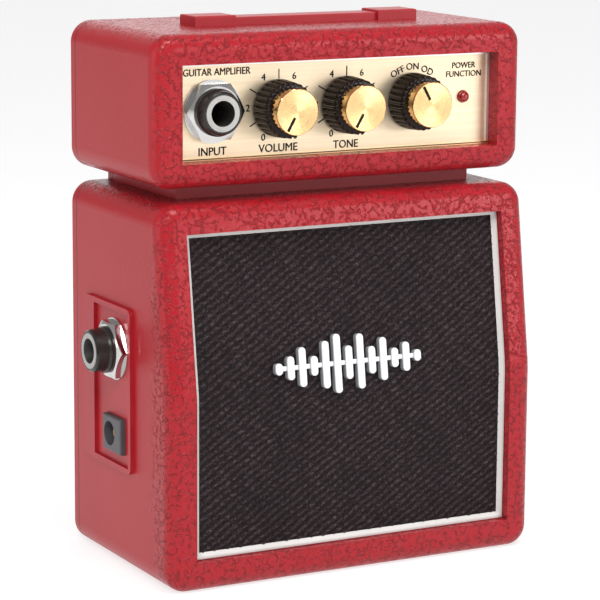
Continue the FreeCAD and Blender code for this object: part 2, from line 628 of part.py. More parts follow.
# ---- control panel ----
def control_panel():
    """The metal plate behind the head's window, with its holes."""
    lap = PANEL_OVERLAP
    plate = box(-PANEL_HALF - lap, PANEL_HALF + lap, PANEL_Y, PANEL_Y + PANEL_THICKNESS,
                PANEL_LOW_Z - lap, PANEL_HIGH_Z + lap)
    holes = [(x, CONTROL_Z, POT_BUSH_RADIUS + FIT_GAP) for x in (VOLUME_X, TONE_X, FUNCTION_X)]
    holes += [(INPUT_X, CONTROL_Z, JACK_THREAD_RADIUS + FIT_GAP), (LED_X, LED_Z, LED_RADIUS + FIT_GAP)]
    for x, z, radius in holes:
        plate = plate.cut(rod(radius, PANEL_THICKNESS + 2, V(x, PANEL_Y - 1, z), Y))
    return plate


def panel_trim():
    """A thin bright frame that lies on the panel, inside the window."""
    w = PANEL_TRIM_WIDTH
    fit = FIT_GAP / 2
    y0, y1 = PANEL_Y - PANEL_TRIM_THICKNESS, PANEL_Y
    outer = box(-PANEL_HALF + fit, PANEL_HALF - fit, y0, y1, PANEL_LOW_Z + fit, PANEL_HIGH_Z - fit)
    return outer.cut(box(-PANEL_HALF + w, PANEL_HALF - w, y0 - 1, y1 + 1, PANEL_LOW_Z + w, PANEL_HIGH_Z - w))


def power_led():
    """A 3 mm lamp with its dome in front of the panel, flange behind it, and two leads to the board."""
    back = PANEL_Y + PANEL_THICKNESS
    place = V(LED_X, back + 1.0, LED_Z)
    barrel = rod(LED_RADIUS, PANEL_THICKNESS + 1.3, place, Y * -1)
    dome = Part.makeSphere(LED_RADIUS, place - Y * (PANEL_THICKNESS + 1.3)).common(
        box(LED_X - 3, LED_X + 3, PANEL_Y - 4, PANEL_Y - 0.2, LED_Z - 3, LED_Z + 3))
    flange = rod(LED_RADIUS + 0.4, 1.0, place, Y * -1)
    lamp = joined(barrel, dome, flange)
    half = 0.25
    for x in (LED_X - 0.64, LED_X + 0.64):
        across = box(x - half, x + half, back + 1.0, back + 4.0, LED_Z - half, LED_Z + half)
        down = box(x - half, x + half, back + 3.5, back + 4.0, BOARD_TOP, LED_Z + half)
        lamp = joined(lamp, across, down)
    return lamp


# ---- knobs ----
def knob_angle(kind):
    """The pointer's angle at rest, clockwise from straight up, seen from the front."""
    return -SWITCH_STEP if kind == "function" else -DIAL_SWEEP / 2


def knob_body(x):
    """The black fluted skirt of a knob."""
    base = V(x, PANEL_Y - KNOB_GAP, CONTROL_Z)
    skirt = turned([(0, 0), (KNOB_BASE_RADIUS, 0), (KNOB_BASE_RADIUS, 1.0),
                    (KNOB_FRONT_RADIUS, KNOB_HEIGHT - KNOB_SHOULDER),
                    (KNOB_FRONT_RADIUS - KNOB_SHOULDER * 0.3, KNOB_HEIGHT - KNOB_SHOULDER * 0.3),
                    (KNOB_FRONT_RADIUS - KNOB_SHOULDER, KNOB_HEIGHT), (0, KNOB_HEIGHT)], base, Y * -1)
    lean = math.degrees(math.atan2(KNOB_BASE_RADIUS - KNOB_FRONT_RADIUS, KNOB_HEIGHT - 1.0))
    cutters = []
    for i in range(KNOB_FLUTES):
        tool = rod(KNOB_FLUTE_RADIUS, KNOB_HEIGHT + 1, V(KNOB_BASE_RADIUS + 0.15, 0, 0.9), Z)
        tool.rotate(V(KNOB_BASE_RADIUS + 0.15, 0, 0.9), Y, -lean)
        tool.rotate(V(0, 0, 0), Z, i * 360.0 / KNOB_FLUTES)
        cutters.append(tool)
    flutes = Part.makeCompound(cutters)
    flutes.Placement = FreeCAD.Placement(base, FreeCAD.Rotation(Z, Y * -1))
    skirt = skirt.cut(flutes)
    skirt = skirt.cut(rod(KNOB_HOLLOW_RADIUS, KNOB_HOLLOW_DEPTH, base, Y * -1))
    skirt = skirt.cut(rod(SHAFT_RADIUS + 0.02, SHAFT_REACH - KNOB_GAP + 0.1, base, Y * -1))
    front = base - Y * KNOB_HEIGHT
    return skirt.cut(rod(CAP_SPIGOT_RADIUS + 0.05, CAP_SPIGOT_LENGTH + 0.05, front, Y))


def knob_cap(x, angle):
    """The metal cap on a knob's front, with the pointer's groove at the given angle."""
    back = V(x, PANEL_Y - KNOB_GAP - KNOB_HEIGHT, CONTROL_Z)
    r, h = CAP_RADIUS, CAP_HEIGHT
    cap = turned([(0, 0), (r, 0), (r, h - 0.3), (r - 0.07, h - 0.1), (r - 0.22, h), (0, h)], back, Y * -1)
    spigot = rod(CAP_SPIGOT_RADIUS, CAP_SPIGOT_LENGTH, back, Y)
    groove = box(-POINTER_WIDTH / 2, POINTER_WIDTH / 2, 0, 1, POINTER_START, POINTER_END)
    groove.rotate(V(0, 0, 0), Y, angle)
    groove.translate(back - Y * (h + 1 - POINTER_CUT))
    return joined(cap, spigot).cut(groove)


def control_shaft(x):
    """A pot's or switch's shaft, with the wiper's disc inside the can."""
    start = V(x, PANEL_Y - SHAFT_REACH, CONTROL_Z)
    disc_y = PANEL_Y + PANEL_THICKNESS + POT_WALL + 1.0
    shaft = rod(SHAFT_RADIUS, disc_y - start.y + 0.5, start, Y)
    return joined(shaft, rod(POT_RADIUS - POT_WALL - 1.0, 1.2, V(x, disc_y, CONTROL_Z), Y))


def control_pot(x):
    """A pot or rotary switch: hollow can, threaded bushing and three pins to the board."""
    back = PANEL_Y + PANEL_THICKNESS
    can = rod(POT_RADIUS, POT_LENGTH, V(x, back, CONTROL_Z), Y)
    bush_length = POT_BUSH_REACH + PANEL_THICKNESS + POT_WALL
    bush = rod(POT_BUSH_RADIUS, bush_length, V(x, back + POT_WALL, CONTROL_Z), Y * -1)
    pins = [box(x + dx - 0.4, x + dx + 0.4, back + 6.0, back + 6.5, BOARD_TOP,
                CONTROL_Z - math.sqrt((POT_RADIUS - POT_WALL / 2) ** 2 - dx ** 2)) for dx in (-5, 0, 5)]
    pot = joined(can, bush, *pins)
    inner = rod(POT_RADIUS - POT_WALL, POT_LENGTH - 2 * POT_WALL, V(x, back + POT_WALL, CONTROL_Z), Y)
    bore = rod(SHAFT_RADIUS + RUNNING_GAP, bush_length + 2, V(x, PANEL_Y - POT_BUSH_REACH - 1, CONTROL_Z), Y)
    return pot.cut(inner).cut(bore)


def pot_nuts():
    """The nuts that hold the pots and the switch to the panel, hidden inside the knobs."""
    made = []
    for x in (VOLUME_X, TONE_X, FUNCTION_X):
        nut = hexagon(POT_NUT_FLATS, POT_NUT_THICKNESS, V(x, PANEL_Y, CONTROL_Z), Y * -1)
        made.append(nut.cut(rod(POT_BUSH_RADIUS + 0.02, 6, V(x, PANEL_Y + 1, CONTROL_Z), Y * -1)))
    return Part.makeCompound(made)


# ---- jacks ----
class Jack:
    """A 6.35 mm jack in its own frame: the panel's face at 0, the plug leaving along +Z."""

    def __init__(self, nose, panel, place, direction, spin):
        self.nose, self.panel = nose, panel
        self.placement = FreeCAD.Placement(place, FreeCAD.Rotation(Z, direction)).multiply(
            FreeCAD.Placement(V(0, 0, 0), FreeCAD.Rotation(Z, spin)))
        self.back = nose - JACK_TOTAL_LENGTH

    def put(self, solid):
        """Moves a solid from the jack's frame to its place."""
        solid.Placement = self.placement.multiply(solid.Placement)
        return solid

    def body(self):
        """The black housing with its threaded nose, bored for the plug, with a window for the tip spring."""
        rear = -self.panel
        half = JACK_BODY_WIDTH / 2
        house = box(-half, half, -half, half, self.back, rear)
        house = house.makeFillet(0.8, [e for e in house.Edges if abs(e.tangentAt(0).z) > 0.9])
        r, n = JACK_THREAD_RADIUS, self.nose
        bush = turned([(0, rear - 1), (r, rear - 1), (r, JACK_NUT_THICKNESS + 1.3),
                       (JACK_NOSE_RADIUS + 0.2, JACK_NUT_THICKNESS + 1.9),
                       (JACK_NOSE_RADIUS, n - 0.5), (JACK_NOSE_RADIUS - 0.4, n), (0, n)], V(0, 0, 0), Z)
        solid = joined(house, bush)
        solid = solid.cut(rod(FERRULE_FLANGE_RADIUS, FERRULE_FLANGE, V(0, 0, n - FERRULE_FLANGE), Z))
        solid = solid.cut(rod(FERRULE_RADIUS, FERRULE_LENGTH, V(0, 0, n - FERRULE_LENGTH), Z))
        depth = n - FERRULE_LENGTH - (self.back + 1.5)
        solid = solid.cut(rod(JACK_CHAMBER_RADIUS, depth, V(0, 0, self.back + 1.5), Z))
        side = LEAF_WIDTH / 2 + 0.4
        window = box(-side, side, 0, half - 0.5, self.back + 3, self.leaf_end() + 2)
        return self.put(solid.cut(window))

    def leaf_end(self):
        """How far forward the tip spring reaches."""
        return self.nose - FERRULE_LENGTH - 5.5

    def leaf(self):
        """The tip spring: a bent strip whose nose dips into the plug's path."""
        w, t = LEAF_WIDTH / 2, LEAF_THICKNESS
        top = JACK_CHAMBER_RADIUS + 0.3
        z0, z1 = self.back + 3.2, self.leaf_end()
        path = [(top, z0), (top, z1 - 5), (top - 2.2, z1 - 2.6), (top - 0.2, z1)]
        outer = [V(-w, y + t, z) for y, z in path]
        inner = [V(-w, y, z) for y, z in reversed(path)]
        strip = Part.Face(Part.makePolygon(outer + inner + [outer[0]])).extrude(X * (2 * w))
        return self.put(strip)

    def ferrule(self):
        """The bright sleeve that the plug slides into."""
        n = self.nose
        tube = joined(rod(FERRULE_RADIUS, FERRULE_LENGTH, V(0, 0, n - FERRULE_LENGTH), Z),
                      rod(FERRULE_FLANGE_RADIUS, FERRULE_FLANGE, V(0, 0, n - FERRULE_FLANGE), Z))
        return self.put(tube.cut(rod(JACK_BORE_RADIUS, FERRULE_LENGTH + 2, V(0, 0, n - FERRULE_LENGTH - 1), Z)))

    def washer(self):
        """The flat washer under the nut."""
        return self.put(ring(JACK_WASHER_RADIUS, JACK_THREAD_RADIUS + 0.1, JACK_WASHER_THICKNESS, V(0, 0, 0), Z))

    def nut(self):
        """The thin hexagon nut."""
        blank = hexagon(JACK_NUT_FLATS, JACK_NUT_THICKNESS, V(0, 0, JACK_WASHER_THICKNESS), Z)
        return self.put(blank.cut(rod(JACK_THREAD_RADIUS + 0.02, 8, V(0, 0, -1), Z)))


# ---- side plate and DC socket ----
def side_field_x():
    """The plane that the side jacks' washer lies on."""
    return -HALF - SIDE_PLATE_PROUD + SIDE_FIELD_RECESS


def side_jack_plate():
    """The smooth framed plate in the cabinet's left wall."""
    y0, y1, z0, z1 = SIDE_PLATE_FRONT_Y, SIDE_PLATE_BACK_Y, SIDE_PLATE_LOW_Z, SIDE_PLATE_HIGH_Z
    face_x = -HALF - SIDE_PLATE_PROUD
    flange = box(face_x, -HALF, y0, y1, z0, z1)
    flange = flange.makeFillet(SIDE_PLATE_CORNER, [e for e in flange.Edges if abs(e.tangentAt(0).x) > 0.9])
    lap = SIDE_PLATE_LAP + FIT_GAP
    plug = box(-HALF, -HALF + WALL, y0 + lap, y1 - lap, z0 + lap, z1 - lap)
    plate = joined(flange, plug)
    plate = plate.cut(box(face_x - 1, side_field_x(), y0 + SIDE_RIM, y1 - SIDE_REAR_RIM,
                          z0 + SIDE_RIM, z1 - SIDE_RIM))
    plate = plate.cut(rod(JACK_THREAD_RADIUS + FIT_GAP, 8, V(-HALF - 2, PHONES_Y, PHONES_Z), X))
    return plate.cut(dc_block(FIT_GAP))


def dc_block(gap):
    """The DC socket's outside, grown by gap."""
    middle = DC_BORE_Y - DC_BORE_OFFSET
    face_x = side_field_x() - DC_PROUD
    return box(face_x - gap, face_x + DC_LENGTH, middle - DC_WIDTH / 2 - gap, middle + DC_WIDTH / 2 + gap,
               DC_Z - DC_HEIGHT / 2 - gap, DC_Z + DC_HEIGHT / 2 + gap)


def dc_jack_body():
    """The square black power socket."""
    face_x = side_field_x() - DC_PROUD
    body = dc_block(0)
    body = body.makeFillet(0.4, [e for e in body.Edges if e.BoundBox.XMax < face_x + 0.1])
    bore = rod(DC_BORE_RADIUS, DC_BORE_DEPTH, V(face_x, DC_BORE_Y, DC_Z), X)
    hole = rod(DC_PIN_ROOT_RADIUS, DC_LENGTH + 2, V(face_x, DC_BORE_Y, DC_Z), X)
    return body.cut(bore).cut(hole)


def dc_jack_pin():
    """The socket's centre pin."""
    face_x = side_field_x() - DC_PROUD
    start = V(face_x + DC_BORE_DEPTH - DC_PIN_LENGTH, DC_BORE_Y, DC_Z)
    root = rod(DC_PIN_ROOT_RADIUS, DC_LENGTH - DC_BORE_DEPTH + DC_PIN_TAIL, start + X * DC_PIN_LENGTH, X)
    return joined(rod(DC_PIN_RADIUS, DC_PIN_LENGTH, start, X), root)


# ---- electronics ----
def board_screw_places():
    """The board's four screws."""
    return [V(x, y, BOARD_TOP) for x in (-44.0, 44.0) for y in (-8.0, 2.0)]


def main_board():
    """The printed board on the head's floor."""
    board = box(-BOARD_HALF_WIDTH, BOARD_HALF_WIDTH, PANEL_Y + PANEL_THICKNESS + 1.5, WIRE_SLOT_FRONT_Y - 2,
                BOARD_TOP - BOARD_THICKNESS, BOARD_TOP)
    for p in board_screw_places():
        board = board.cut(rod(SCREW_RADIUS + 0.1, 4, V(p.x, p.y, BOARD_TOP - 3), Z))
    return board


def board_screws():
    """Screws that hold the board to the head's posts."""
    return Part.makeCompound([joined(rod(SCREW_HEAD_RADIUS, SCREW_HEAD_HEIGHT, p, Z),
                                     rod(SCREW_RADIUS - 0.05, 4.0, p, Z * -1)) for p in board_screw_places()])


def amplifier_chip():
    """The eight-pin power amplifier."""
    x, y = 15.0, 2.0
    chip = box(x - 4.8, x + 4.8, y - 3.2, y + 3.2, BOARD_TOP + 0.6, BOARD_TOP + 4.0)
    pins = []
    for i in range(4):
        for side in (-1, 1):
            px = x - 3.81 + i * 2.54
            y0, y1 = sorted((y + side * 3.1, y + side * 3.9))
            pins.append(box(px - 0.25, px + 0.25, y0, y1, BOARD_TOP, BOARD_TOP + 2.2))
    return joined(chip, *pins)


def capacitors():
    """Six electrolytic cans that stand on the board; the low one stands under the input jack."""
    made = []
    under_jack = CONTROL_Z - JACK_BODY_WIDTH / 2 - BOARD_TOP - 1.0
    for x, y, radius, height in ((-20, 2.6, 3.1, 9), (-9, 2.6, 2.5, 8), (0, 2.6, 2.5, 8),
                                 (24, 2.0, 4.0, 10), (34, 2.4, 3.1, 9), (-36, 4.0, 2.0, under_jack)):
        can = rod(radius, height, V(x, y, BOARD_TOP + 0.2), Z)
        can = can.makeFillet(0.5, [can.Edges[0]])
        feet = [rod(0.3, 1.0, V(x + s * radius / 2, y, BOARD_TOP - 0.0), Z) for s in (-1, 1)]
        made.append(joined(can, *feet))
    return Part.makeCompound(made)


def resistors():
    """A row of small resistors behind the pots."""
    made = []
    for i in range(7):
        x = -30 + i * 9.0
        y = PANEL_Y + PANEL_THICKNESS + 11.5
        barrel = rod(0.9, 4.4, V(x - 2.2, y, BOARD_TOP + 1.1), X)
        top = BOARD_TOP + 1.3
        for end in (-1, 1):
            across = box(x + end * 2.5 - 0.55, x + end * 2.5 + 0.55, y - 0.2, y + 0.2, top - 0.4, top)
            down = box(x + end * 3.0 - 0.2, x + end * 3.0 + 0.2, y - 0.2, y + 0.2, BOARD_TOP, top)
            barrel = joined(barrel, across, down)
        made.append(barrel)
    return Part.makeCompound(made)


def wire(points, radius=0.6):
    """A wire along straight runs joined by tangent arcs."""
    edges, last = [], points[0]
    for before, corner, after in zip(points, points[1:], points[2:]):
        a, b = (corner - before), (after - corner)
        turn = a.getAngle(b)
        reach = 0.45 * min(a.Length, b.Length)
        a.normalize()
        b.normalize()
        start, end = corner - a * reach, corner + b * reach
        bend = reach / math.tan(turn / 2)
        inward = (b - a).normalize()
        centre = corner + inward * math.sqrt(bend ** 2 + reach ** 2)
        middle = centre + (corner - centre).normalize() * bend
        edges += [Part.makeLine(last, start), Part.Arc(start, middle, end).toShape()]
        last = end
    edges.append(Part.makeLine(last, points[-1]))
    path = Part.Wire(edges)
    direction = points[1] - points[0]
    section = Part.Wire(Part.makeCircle(radius, points[0], direction))
    return path.makePipeShell([section], True, False)


def wiring():
    """Pairs of leads of speaker, battery, phones jack and DC socket, which rise through the neck to the board."""
    board_y = WIRE_SLOT_FRONT_Y - 3.0
    snap_x = battery_box()[0] - 5.0
    snap_y = (battery_box()[2] + battery_box()[3]) / 2 - 0.5
    dc_x = side_field_x() - DC_PROUD + DC_LENGTH
    jack_x = side_field_x() + JACK_TOTAL_LENGTH - PHONES_NOSE
    one, other = terminal_point(-1), terminal_point(1)
    routes = [
        [one, one + Y * 9, V(9, 13, 84), V(8, 13, 98), V(8, 12, 107), V(6, board_y, 109.5),
         V(6, board_y, BOARD_TOP)],
        [other, other + Y * 10, V(12, 15.5, 84), V(10.4, 15.5, 98), V(10.4, 13, 108.5), V(9, board_y, 111),
         V(9, board_y, BOARD_TOP)],
        [V(snap_x, snap_y, 33), V(-34, snap_y, 33), V(-34, snap_y + 1, 66), V(-12, 17, 82), V(-8, 16, 92),
         V(-8, 15, 105), V(-6, board_y, 109.5), V(-6, board_y, BOARD_TOP)],
        [V(snap_x, snap_y - 2.5, 33), V(-36.5, snap_y - 2.5, 33), V(-36.5, snap_y - 1.7, 67), V(-14, 14.5, 84),
         V(-10.6, 13.2, 93), V(-10.6, 12.5, 105), V(-12.6, board_y, 109.5), V(-12.6, board_y, BOARD_TOP)],
        [V(jack_x, PHONES_Y + 3, PHONES_Z), V(-22, PHONES_Y + 3, PHONES_Z), V(-6, 10, 84), V(-4, 12, 94),
         V(-4, 12, 104), V(-2.6, board_y, 108.5), V(-2.6, board_y, BOARD_TOP)],
        [V(jack_x, PHONES_Y + 5.6, PHONES_Z + 3), V(-25, PHONES_Y + 5.6, PHONES_Z + 3), V(-4, 14, 82),
         V(-1, 15, 94), V(-1, 15, 106), V(0.6, board_y, 110.5), V(0.6, board_y, BOARD_TOP)],
        [V(dc_x, 5.0, DC_Z + 2), V(-36.5, 5.0, DC_Z + 2), V(-36.5, 11.2, 46), V(-36.5, 11.2, 66), V(-12, 11, 86),
         V(-7.2, 11.0, 94), V(-7.2, 11, 104), V(-9.3, board_y, 108.5), V(-9.3, board_y, BOARD_TOP)],
        [V(dc_x, 5.0, DC_Z - 2), V(-33.6, 5.0, DC_Z - 2), V(-33.6, 11.2, 47), V(-33.6, 11.2, 64), V(-8, 11, 80),
         V(2.4, 11, 91), V(2.4, 11, 104), V(3.4, board_y, 108), V(3.4, board_y, BOARD_TOP)],
    ]
    return Part.makeCompound([wire(points) for points in routes])


# ---- speaker ----
def at_speaker(y):
    """A point on the speaker's axis."""
    return V(0, y, SPEAKER_Z)


def speaker_stack():
    """The y of each layer behind the rim: basket floor, plate, magnet and yoke."""
    floor = SPEAKER_SEAT_Y + 1.0 + BASKET_DEPTH
    plate = floor + 1.0
    magnet = plate + PLATE_THICKNESS
    yoke = magnet + MAGNET_THICKNESS
    return floor, plate, magnet, yoke


def speaker_frame():
    """The pressed basket with its rim, four windows and floor."""
    floor = speaker_stack()[0]
    rim_inner = SPEAKER_RIM_RADIUS - SPEAKER_RIM_WIDTH
    h = floor - SPEAKER_SEAT_Y
    w, narrow = BASKET_WALL, BASKET_FLOOR_RADIUS
    frame = turned([(rim_inner, 0), (SPEAKER_RIM_RADIUS, 0), (SPEAKER_RIM_RADIUS, 1.0), (rim_inner + w, 1.0),
                    (narrow, h + 1.0), (COIL_RADIUS + 0.9, h + 1.0), (COIL_RADIUS + 0.9, h), (narrow - w, h),
                    (rim_inner, 1.0)], at_speaker(SPEAKER_SEAT_Y), Y)
    for angle in (0, 90, 180, 270):
        window = box(-6.5, 6.5, SPEAKER_SEAT_Y + 2.6, floor - 1.2, narrow - 1, SPEAKER_RIM_RADIUS + 2)
        window.rotate(V(0, 0, 0), Y, angle)
        window.translate(V(0, 0, SPEAKER_Z))
        frame = frame.cut(window)
    return frame


def speaker_top_plate():
    """The steel ring in front of the magnet."""
    return ring(MAGNET_RADIUS - 1.5, COIL_RADIUS + POLE_GAP, PLATE_THICKNESS, at_speaker(speaker_stack()[1]), Y)


def speaker_magnet():
    """The ferrite ring."""
    return ring(MAGNET_RADIUS, COIL_RADIUS + 2.6, MAGNET_THICKNESS, at_speaker(speaker_stack()[2]), Y)


def speaker_yoke():
    """The back plate with its pole piece."""
    floor, plate, _, yoke = speaker_stack()
    pole_radius = COIL_RADIUS - COIL_WALL - POLE_GAP
    disc = rod(MAGNET_RADIUS - 1.5, PLATE_THICKNESS, at_speaker(yoke), Y)
    return joined(disc, rod(pole_radius, yoke - plate + 0.5, at_speaker(yoke + 0.5), Y * -1))


def cone_neck_y():
    """Where the cone meets the voice coil."""
    return SPEAKER_SEAT_Y + CONE_EDGE + CONE_DEPTH


def speaker_cone():
    """The paper cone."""
    neck, edge, w = cone_neck_y(), SPEAKER_SEAT_Y + CONE_EDGE, CONE_WALL
    return turned([(COIL_RADIUS, neck - w), (CONE_RADIUS, edge), (CONE_RADIUS, edge + w), (COIL_RADIUS, neck)],
                  at_speaker(0), Y)


def voice_coil():
    """The coil's former, from the cone's neck into the magnet's gap."""
    floor, plate, magnet, _ = speaker_stack()
    start = cone_neck_y() - 1.6
    return ring(COIL_RADIUS, COIL_RADIUS - COIL_WALL, magnet + 0.8 - start, at_speaker(start), Y)


def dust_cap():
    """The domed cover over the voice coil."""
    start = cone_neck_y() - 1.6
    radius = COIL_RADIUS * 1.25
    outer = Part.makeSphere(radius, at_speaker(start + math.sqrt(radius ** 2 - COIL_RADIUS ** 2)))
    inner = Part.makeSphere(radius - 0.4, at_speaker(start + math.sqrt(radius ** 2 - COIL_RADIUS ** 2)))
    return outer.cut(inner).common(box(-20, 20, start - 10, start, SPEAKER_Z - 20, SPEAKER_Z + 20))


def cone_surround():
    """The half-round rubber roll between cone and rim."""
    rim_inner = SPEAKER_RIM_RADIUS - SPEAKER_RIM_WIDTH
    middle, half = (CONE_RADIUS + rim_inner) / 2, (rim_inner - CONE_RADIUS) / 2
    y = SPEAKER_SEAT_Y + CONE_EDGE
    torus = Part.makeTorus(middle, half, at_speaker(y), Y)
    torus = torus.cut(Part.makeTorus(middle, half - 0.4, at_speaker(y), Y))
    return torus.common(rod(SPEAKER_RIM_RADIUS, 6, at_speaker(y), Y * -1))


def cone_spider():
    """The corrugated ring that centres the coil, glued to the basket's floor round its outside."""
    floor, t = speaker_stack()[0], SPIDER_THICKNESS
    steps = 8
    pitch = (SPIDER_FLANGE_RADIUS - COIL_RADIUS) / steps
    wave = [(COIL_RADIUS + i * pitch, floor - 1.8 + (0.35 if i % 2 else -0.35)) for i in range(steps)]
    wave += [(SPIDER_FLANGE_RADIUS, floor - t), (SPIDER_RADIUS, floor - t)]
    return turned(wave + [(r, h + t) for r, h in reversed(wave)], at_speaker(0), Y)


def basket_envelope():
    """The basket's outside as a filled solid."""
    h = speaker_stack()[0] - SPEAKER_SEAT_Y + 1.0
    rim = SPEAKER_RIM_RADIUS - SPEAKER_RIM_WIDTH + BASKET_WALL
    points = [(0, 0), (SPEAKER_RIM_RADIUS, 0), (SPEAKER_RIM_RADIUS, 1.0), (rim, 1.0), (BASKET_FLOOR_RADIUS, h)]
    return turned(points + [(0, h)], at_speaker(SPEAKER_SEAT_Y), Y)


def terminal_point(side):
    """Where a speaker lead is soldered, to one side or the other of the upper right rib."""
    along, across = V(math.sqrt(0.5), 0, math.sqrt(0.5)), V(math.sqrt(0.5), 0, -math.sqrt(0.5))
    return at_speaker(speaker_stack()[0]) + along * TERMINAL_RADIUS + across * (side * 3.0)


def speaker_terminals():
    """The small tag board on one rib of the basket."""
    floor = speaker_stack()[0]
    strip = box(-5, 5, floor - 1.2, floor, BASKET_FLOOR_RADIUS, TERMINAL_RADIUS + 2.5)
    strip.rotate(V(0, 0, 0), Y, 45)
    strip.translate(V(0, 0, SPEAKER_Z))
    return strip.cut(basket_envelope())


# ---- battery ----
def battery_box():
    """The battery's x, y and z limits, against the right end of the bay."""
    x1 = BAY_HALF_LENGTH - 0.5
    y0 = BACK_Y - BAY_DEPTH + 0.3
    z0 = BAY_LOW_Z + 0.4
    return x1 - BATTERY_LENGTH, x1, y0, y0 + BATTERY_DEPTH, z0, z0 + BATTERY_HEIGHT


def battery():
    """A 9 V block battery with its two terminals."""
    x0, x1, y0, y1, z0, z1 = battery_box()
    block = box(x0, x1, y0, y1, z0, z1)
    block = block.makeFillet(1.5, [e for e in block.Edges if abs(e.tangentAt(0).x) > 0.9])
    y, z = (y0 + y1) / 2, (z0 + z1) / 2
    small = rod(2.8, BATTERY_TERMINAL, V(x0, y, z - 6.4), X * -1)
    large = hexagon(7.4, BATTERY_TERMINAL, V(x0, y, z + 6.4), X * -1)
    return joined(block, small, large)


def battery_snap():
    """The snap connector on the battery's terminals."""
    x0, _, y0, y1, z0, z1 = battery_box()
    y, z = (y0 + y1) / 2, (z0 + z1) / 2
    cap = box(x0 - 5.0, x0 - 0.3, y - 5.5, y + 5.5, z - 12, z + 12)
    cap = cap.makeFillet(1.0, [e for e in cap.Edges if abs(e.tangentAt(0).x) > 0.9])
    cap = cap.cut(rod(3.1, BATTERY_TERMINAL + 0.6, V(x0, y, z - 6.4), X * -1))
    return cap.cut(rod(4.6, BATTERY_TERMINAL + 0.6, V(x0, y, z + 6.4), X * -1))


def battery_door():
    """The lid of the bay: ribbed plate, two hooks below, finger latch above, two ribs against the battery."""
    g = DOOR_GAP
    x0, x1, z0, z1 = -BAY_HALF_LENGTH + g, BAY_HALF_LENGTH - g, BAY_LOW_Z + g, BAY_HIGH_Z - g
    back, inner = BACK_Y - HOOK_DEPTH, BACK_Y - DOOR_THICKNESS + 0.1
    door = box(x0, x1, BACK_Y - DOOR_THICKNESS, BACK_Y, z0, z1)
    for i in range(5):
        z = z1 - 8.5 - i * 1.6
        door = door.cut(box(-8, 8, BACK_Y - 0.5, BACK_Y + 1, z - 0.4, z + 0.4))
    for side in (-1, 1):
        x = side * LATCH_HALF_WIDTH
        door = door.cut(box(x - 0.4, x + 0.4, BACK_Y - DOOR_THICKNESS - 1, BACK_Y + 1, z1 - 6, z1 + 1))
    for x in hook_places():
        left, right = x - HOOK_HALF_WIDTH, x + HOOK_HALF_WIDTH
        hook = box(left, right, back, BACK_Y - WALL - FIT_GAP, z0 - HOOK_DROP, z0 + 1.5)
        door = joined(door, hook, box(left, right, back, inner, z0, z0 + 1.5))
    catch = box(-LATCH_HALF_WIDTH + 2, LATCH_HALF_WIDTH - 2, back, inner, z1 - 1.3, z1 - 0.3)
    ribs = [box(x - 0.6, x + 0.6, back, inner, z0 + 4, z1 - 4) for x in (-18, 18)]
    return joined(door, catch, *ribs)


# ---- belt clip ----
def clip_screw_heights():
    """The belt clip's two screws, one above the other."""
    return [CLIP_BASE_LOW_Z + 3.5, CLIP_BASE_LOW_Z + 10.5]


def clip_axis(x):
    """A point on the clip's pivot."""
    return V(x, BACK_Y + CLIP_AXIS_Y_OUT, CLIP_AXIS_Z)


def belt_clip_base():
    """The clip's fixed plate with two ears, the pivot pin and two screws."""
    w = CLIP_HALF_WIDTH
    plate = box(-w, w, BACK_Y, BACK_Y + CLIP_SHEET, CLIP_BASE_LOW_Z, CLIP_BASE_HIGH_Z)
    ears = []
    for sx in (-1, 1):
        x0 = w - CLIP_SHEET if sx > 0 else -w
        ears.append(rod(CLIP_KNUCKLE_RADIUS, CLIP_SHEET, clip_axis(x0), X))
        ears.append(box(x0, x0 + CLIP_SHEET, BACK_Y, BACK_Y + CLIP_AXIS_Y_OUT,
                        CLIP_AXIS_Z - CLIP_KNUCKLE_RADIUS, CLIP_AXIS_Z + CLIP_KNUCKLE_RADIUS))
    pin = rod(CLIP_PIN_RADIUS, 2 * w, clip_axis(-w), X)
    screws = []
    for z in clip_screw_heights():
        screws.append(rod(SCREW_HEAD_RADIUS, 0.9, V(0, BACK_Y + CLIP_SHEET, z), Y))
        screws.append(rod(SCREW_RADIUS - 0.1, 7, V(0, BACK_Y + CLIP_SHEET, z), Y * -1))
    return joined(plate, *(ears + [pin] + screws))


def belt_clip_lever():
    """The springy tongue, with its rolled knuckle, thumb tab above and turned-out tip below."""
    w, t = CLIP_HALF_WIDTH - CLIP_SHEET - 0.4, CLIP_SHEET
    y = BACK_Y + CLIP_GAP
    axis = clip_axis(-w)
    spine = [(y + 0.8, CLIP_AXIS_Z + 8.5), (y, CLIP_AXIS_Z), (y, CLIP_TIP_Z + 9), (BACK_Y + 1.2, CLIP_TIP_Z + 4),
             (y - 0.6, CLIP_TIP_Z)]
    outer = [V(-w, py + t, pz) for py, pz in spine]
    inner = [V(-w, py, pz) for py, pz in reversed(spine)]
    tongue = Part.Face(Part.makePolygon(outer + inner + [outer[0]])).extrude(X * (2 * w))
    lever = joined(tongue, rod(CLIP_KNUCKLE_RADIUS, 2 * w, axis, X))
    return lever.cut(rod(CLIP_PIN_RADIUS + RUNNING_GAP, 2 * w + 2, clip_axis(-w - 1), X))


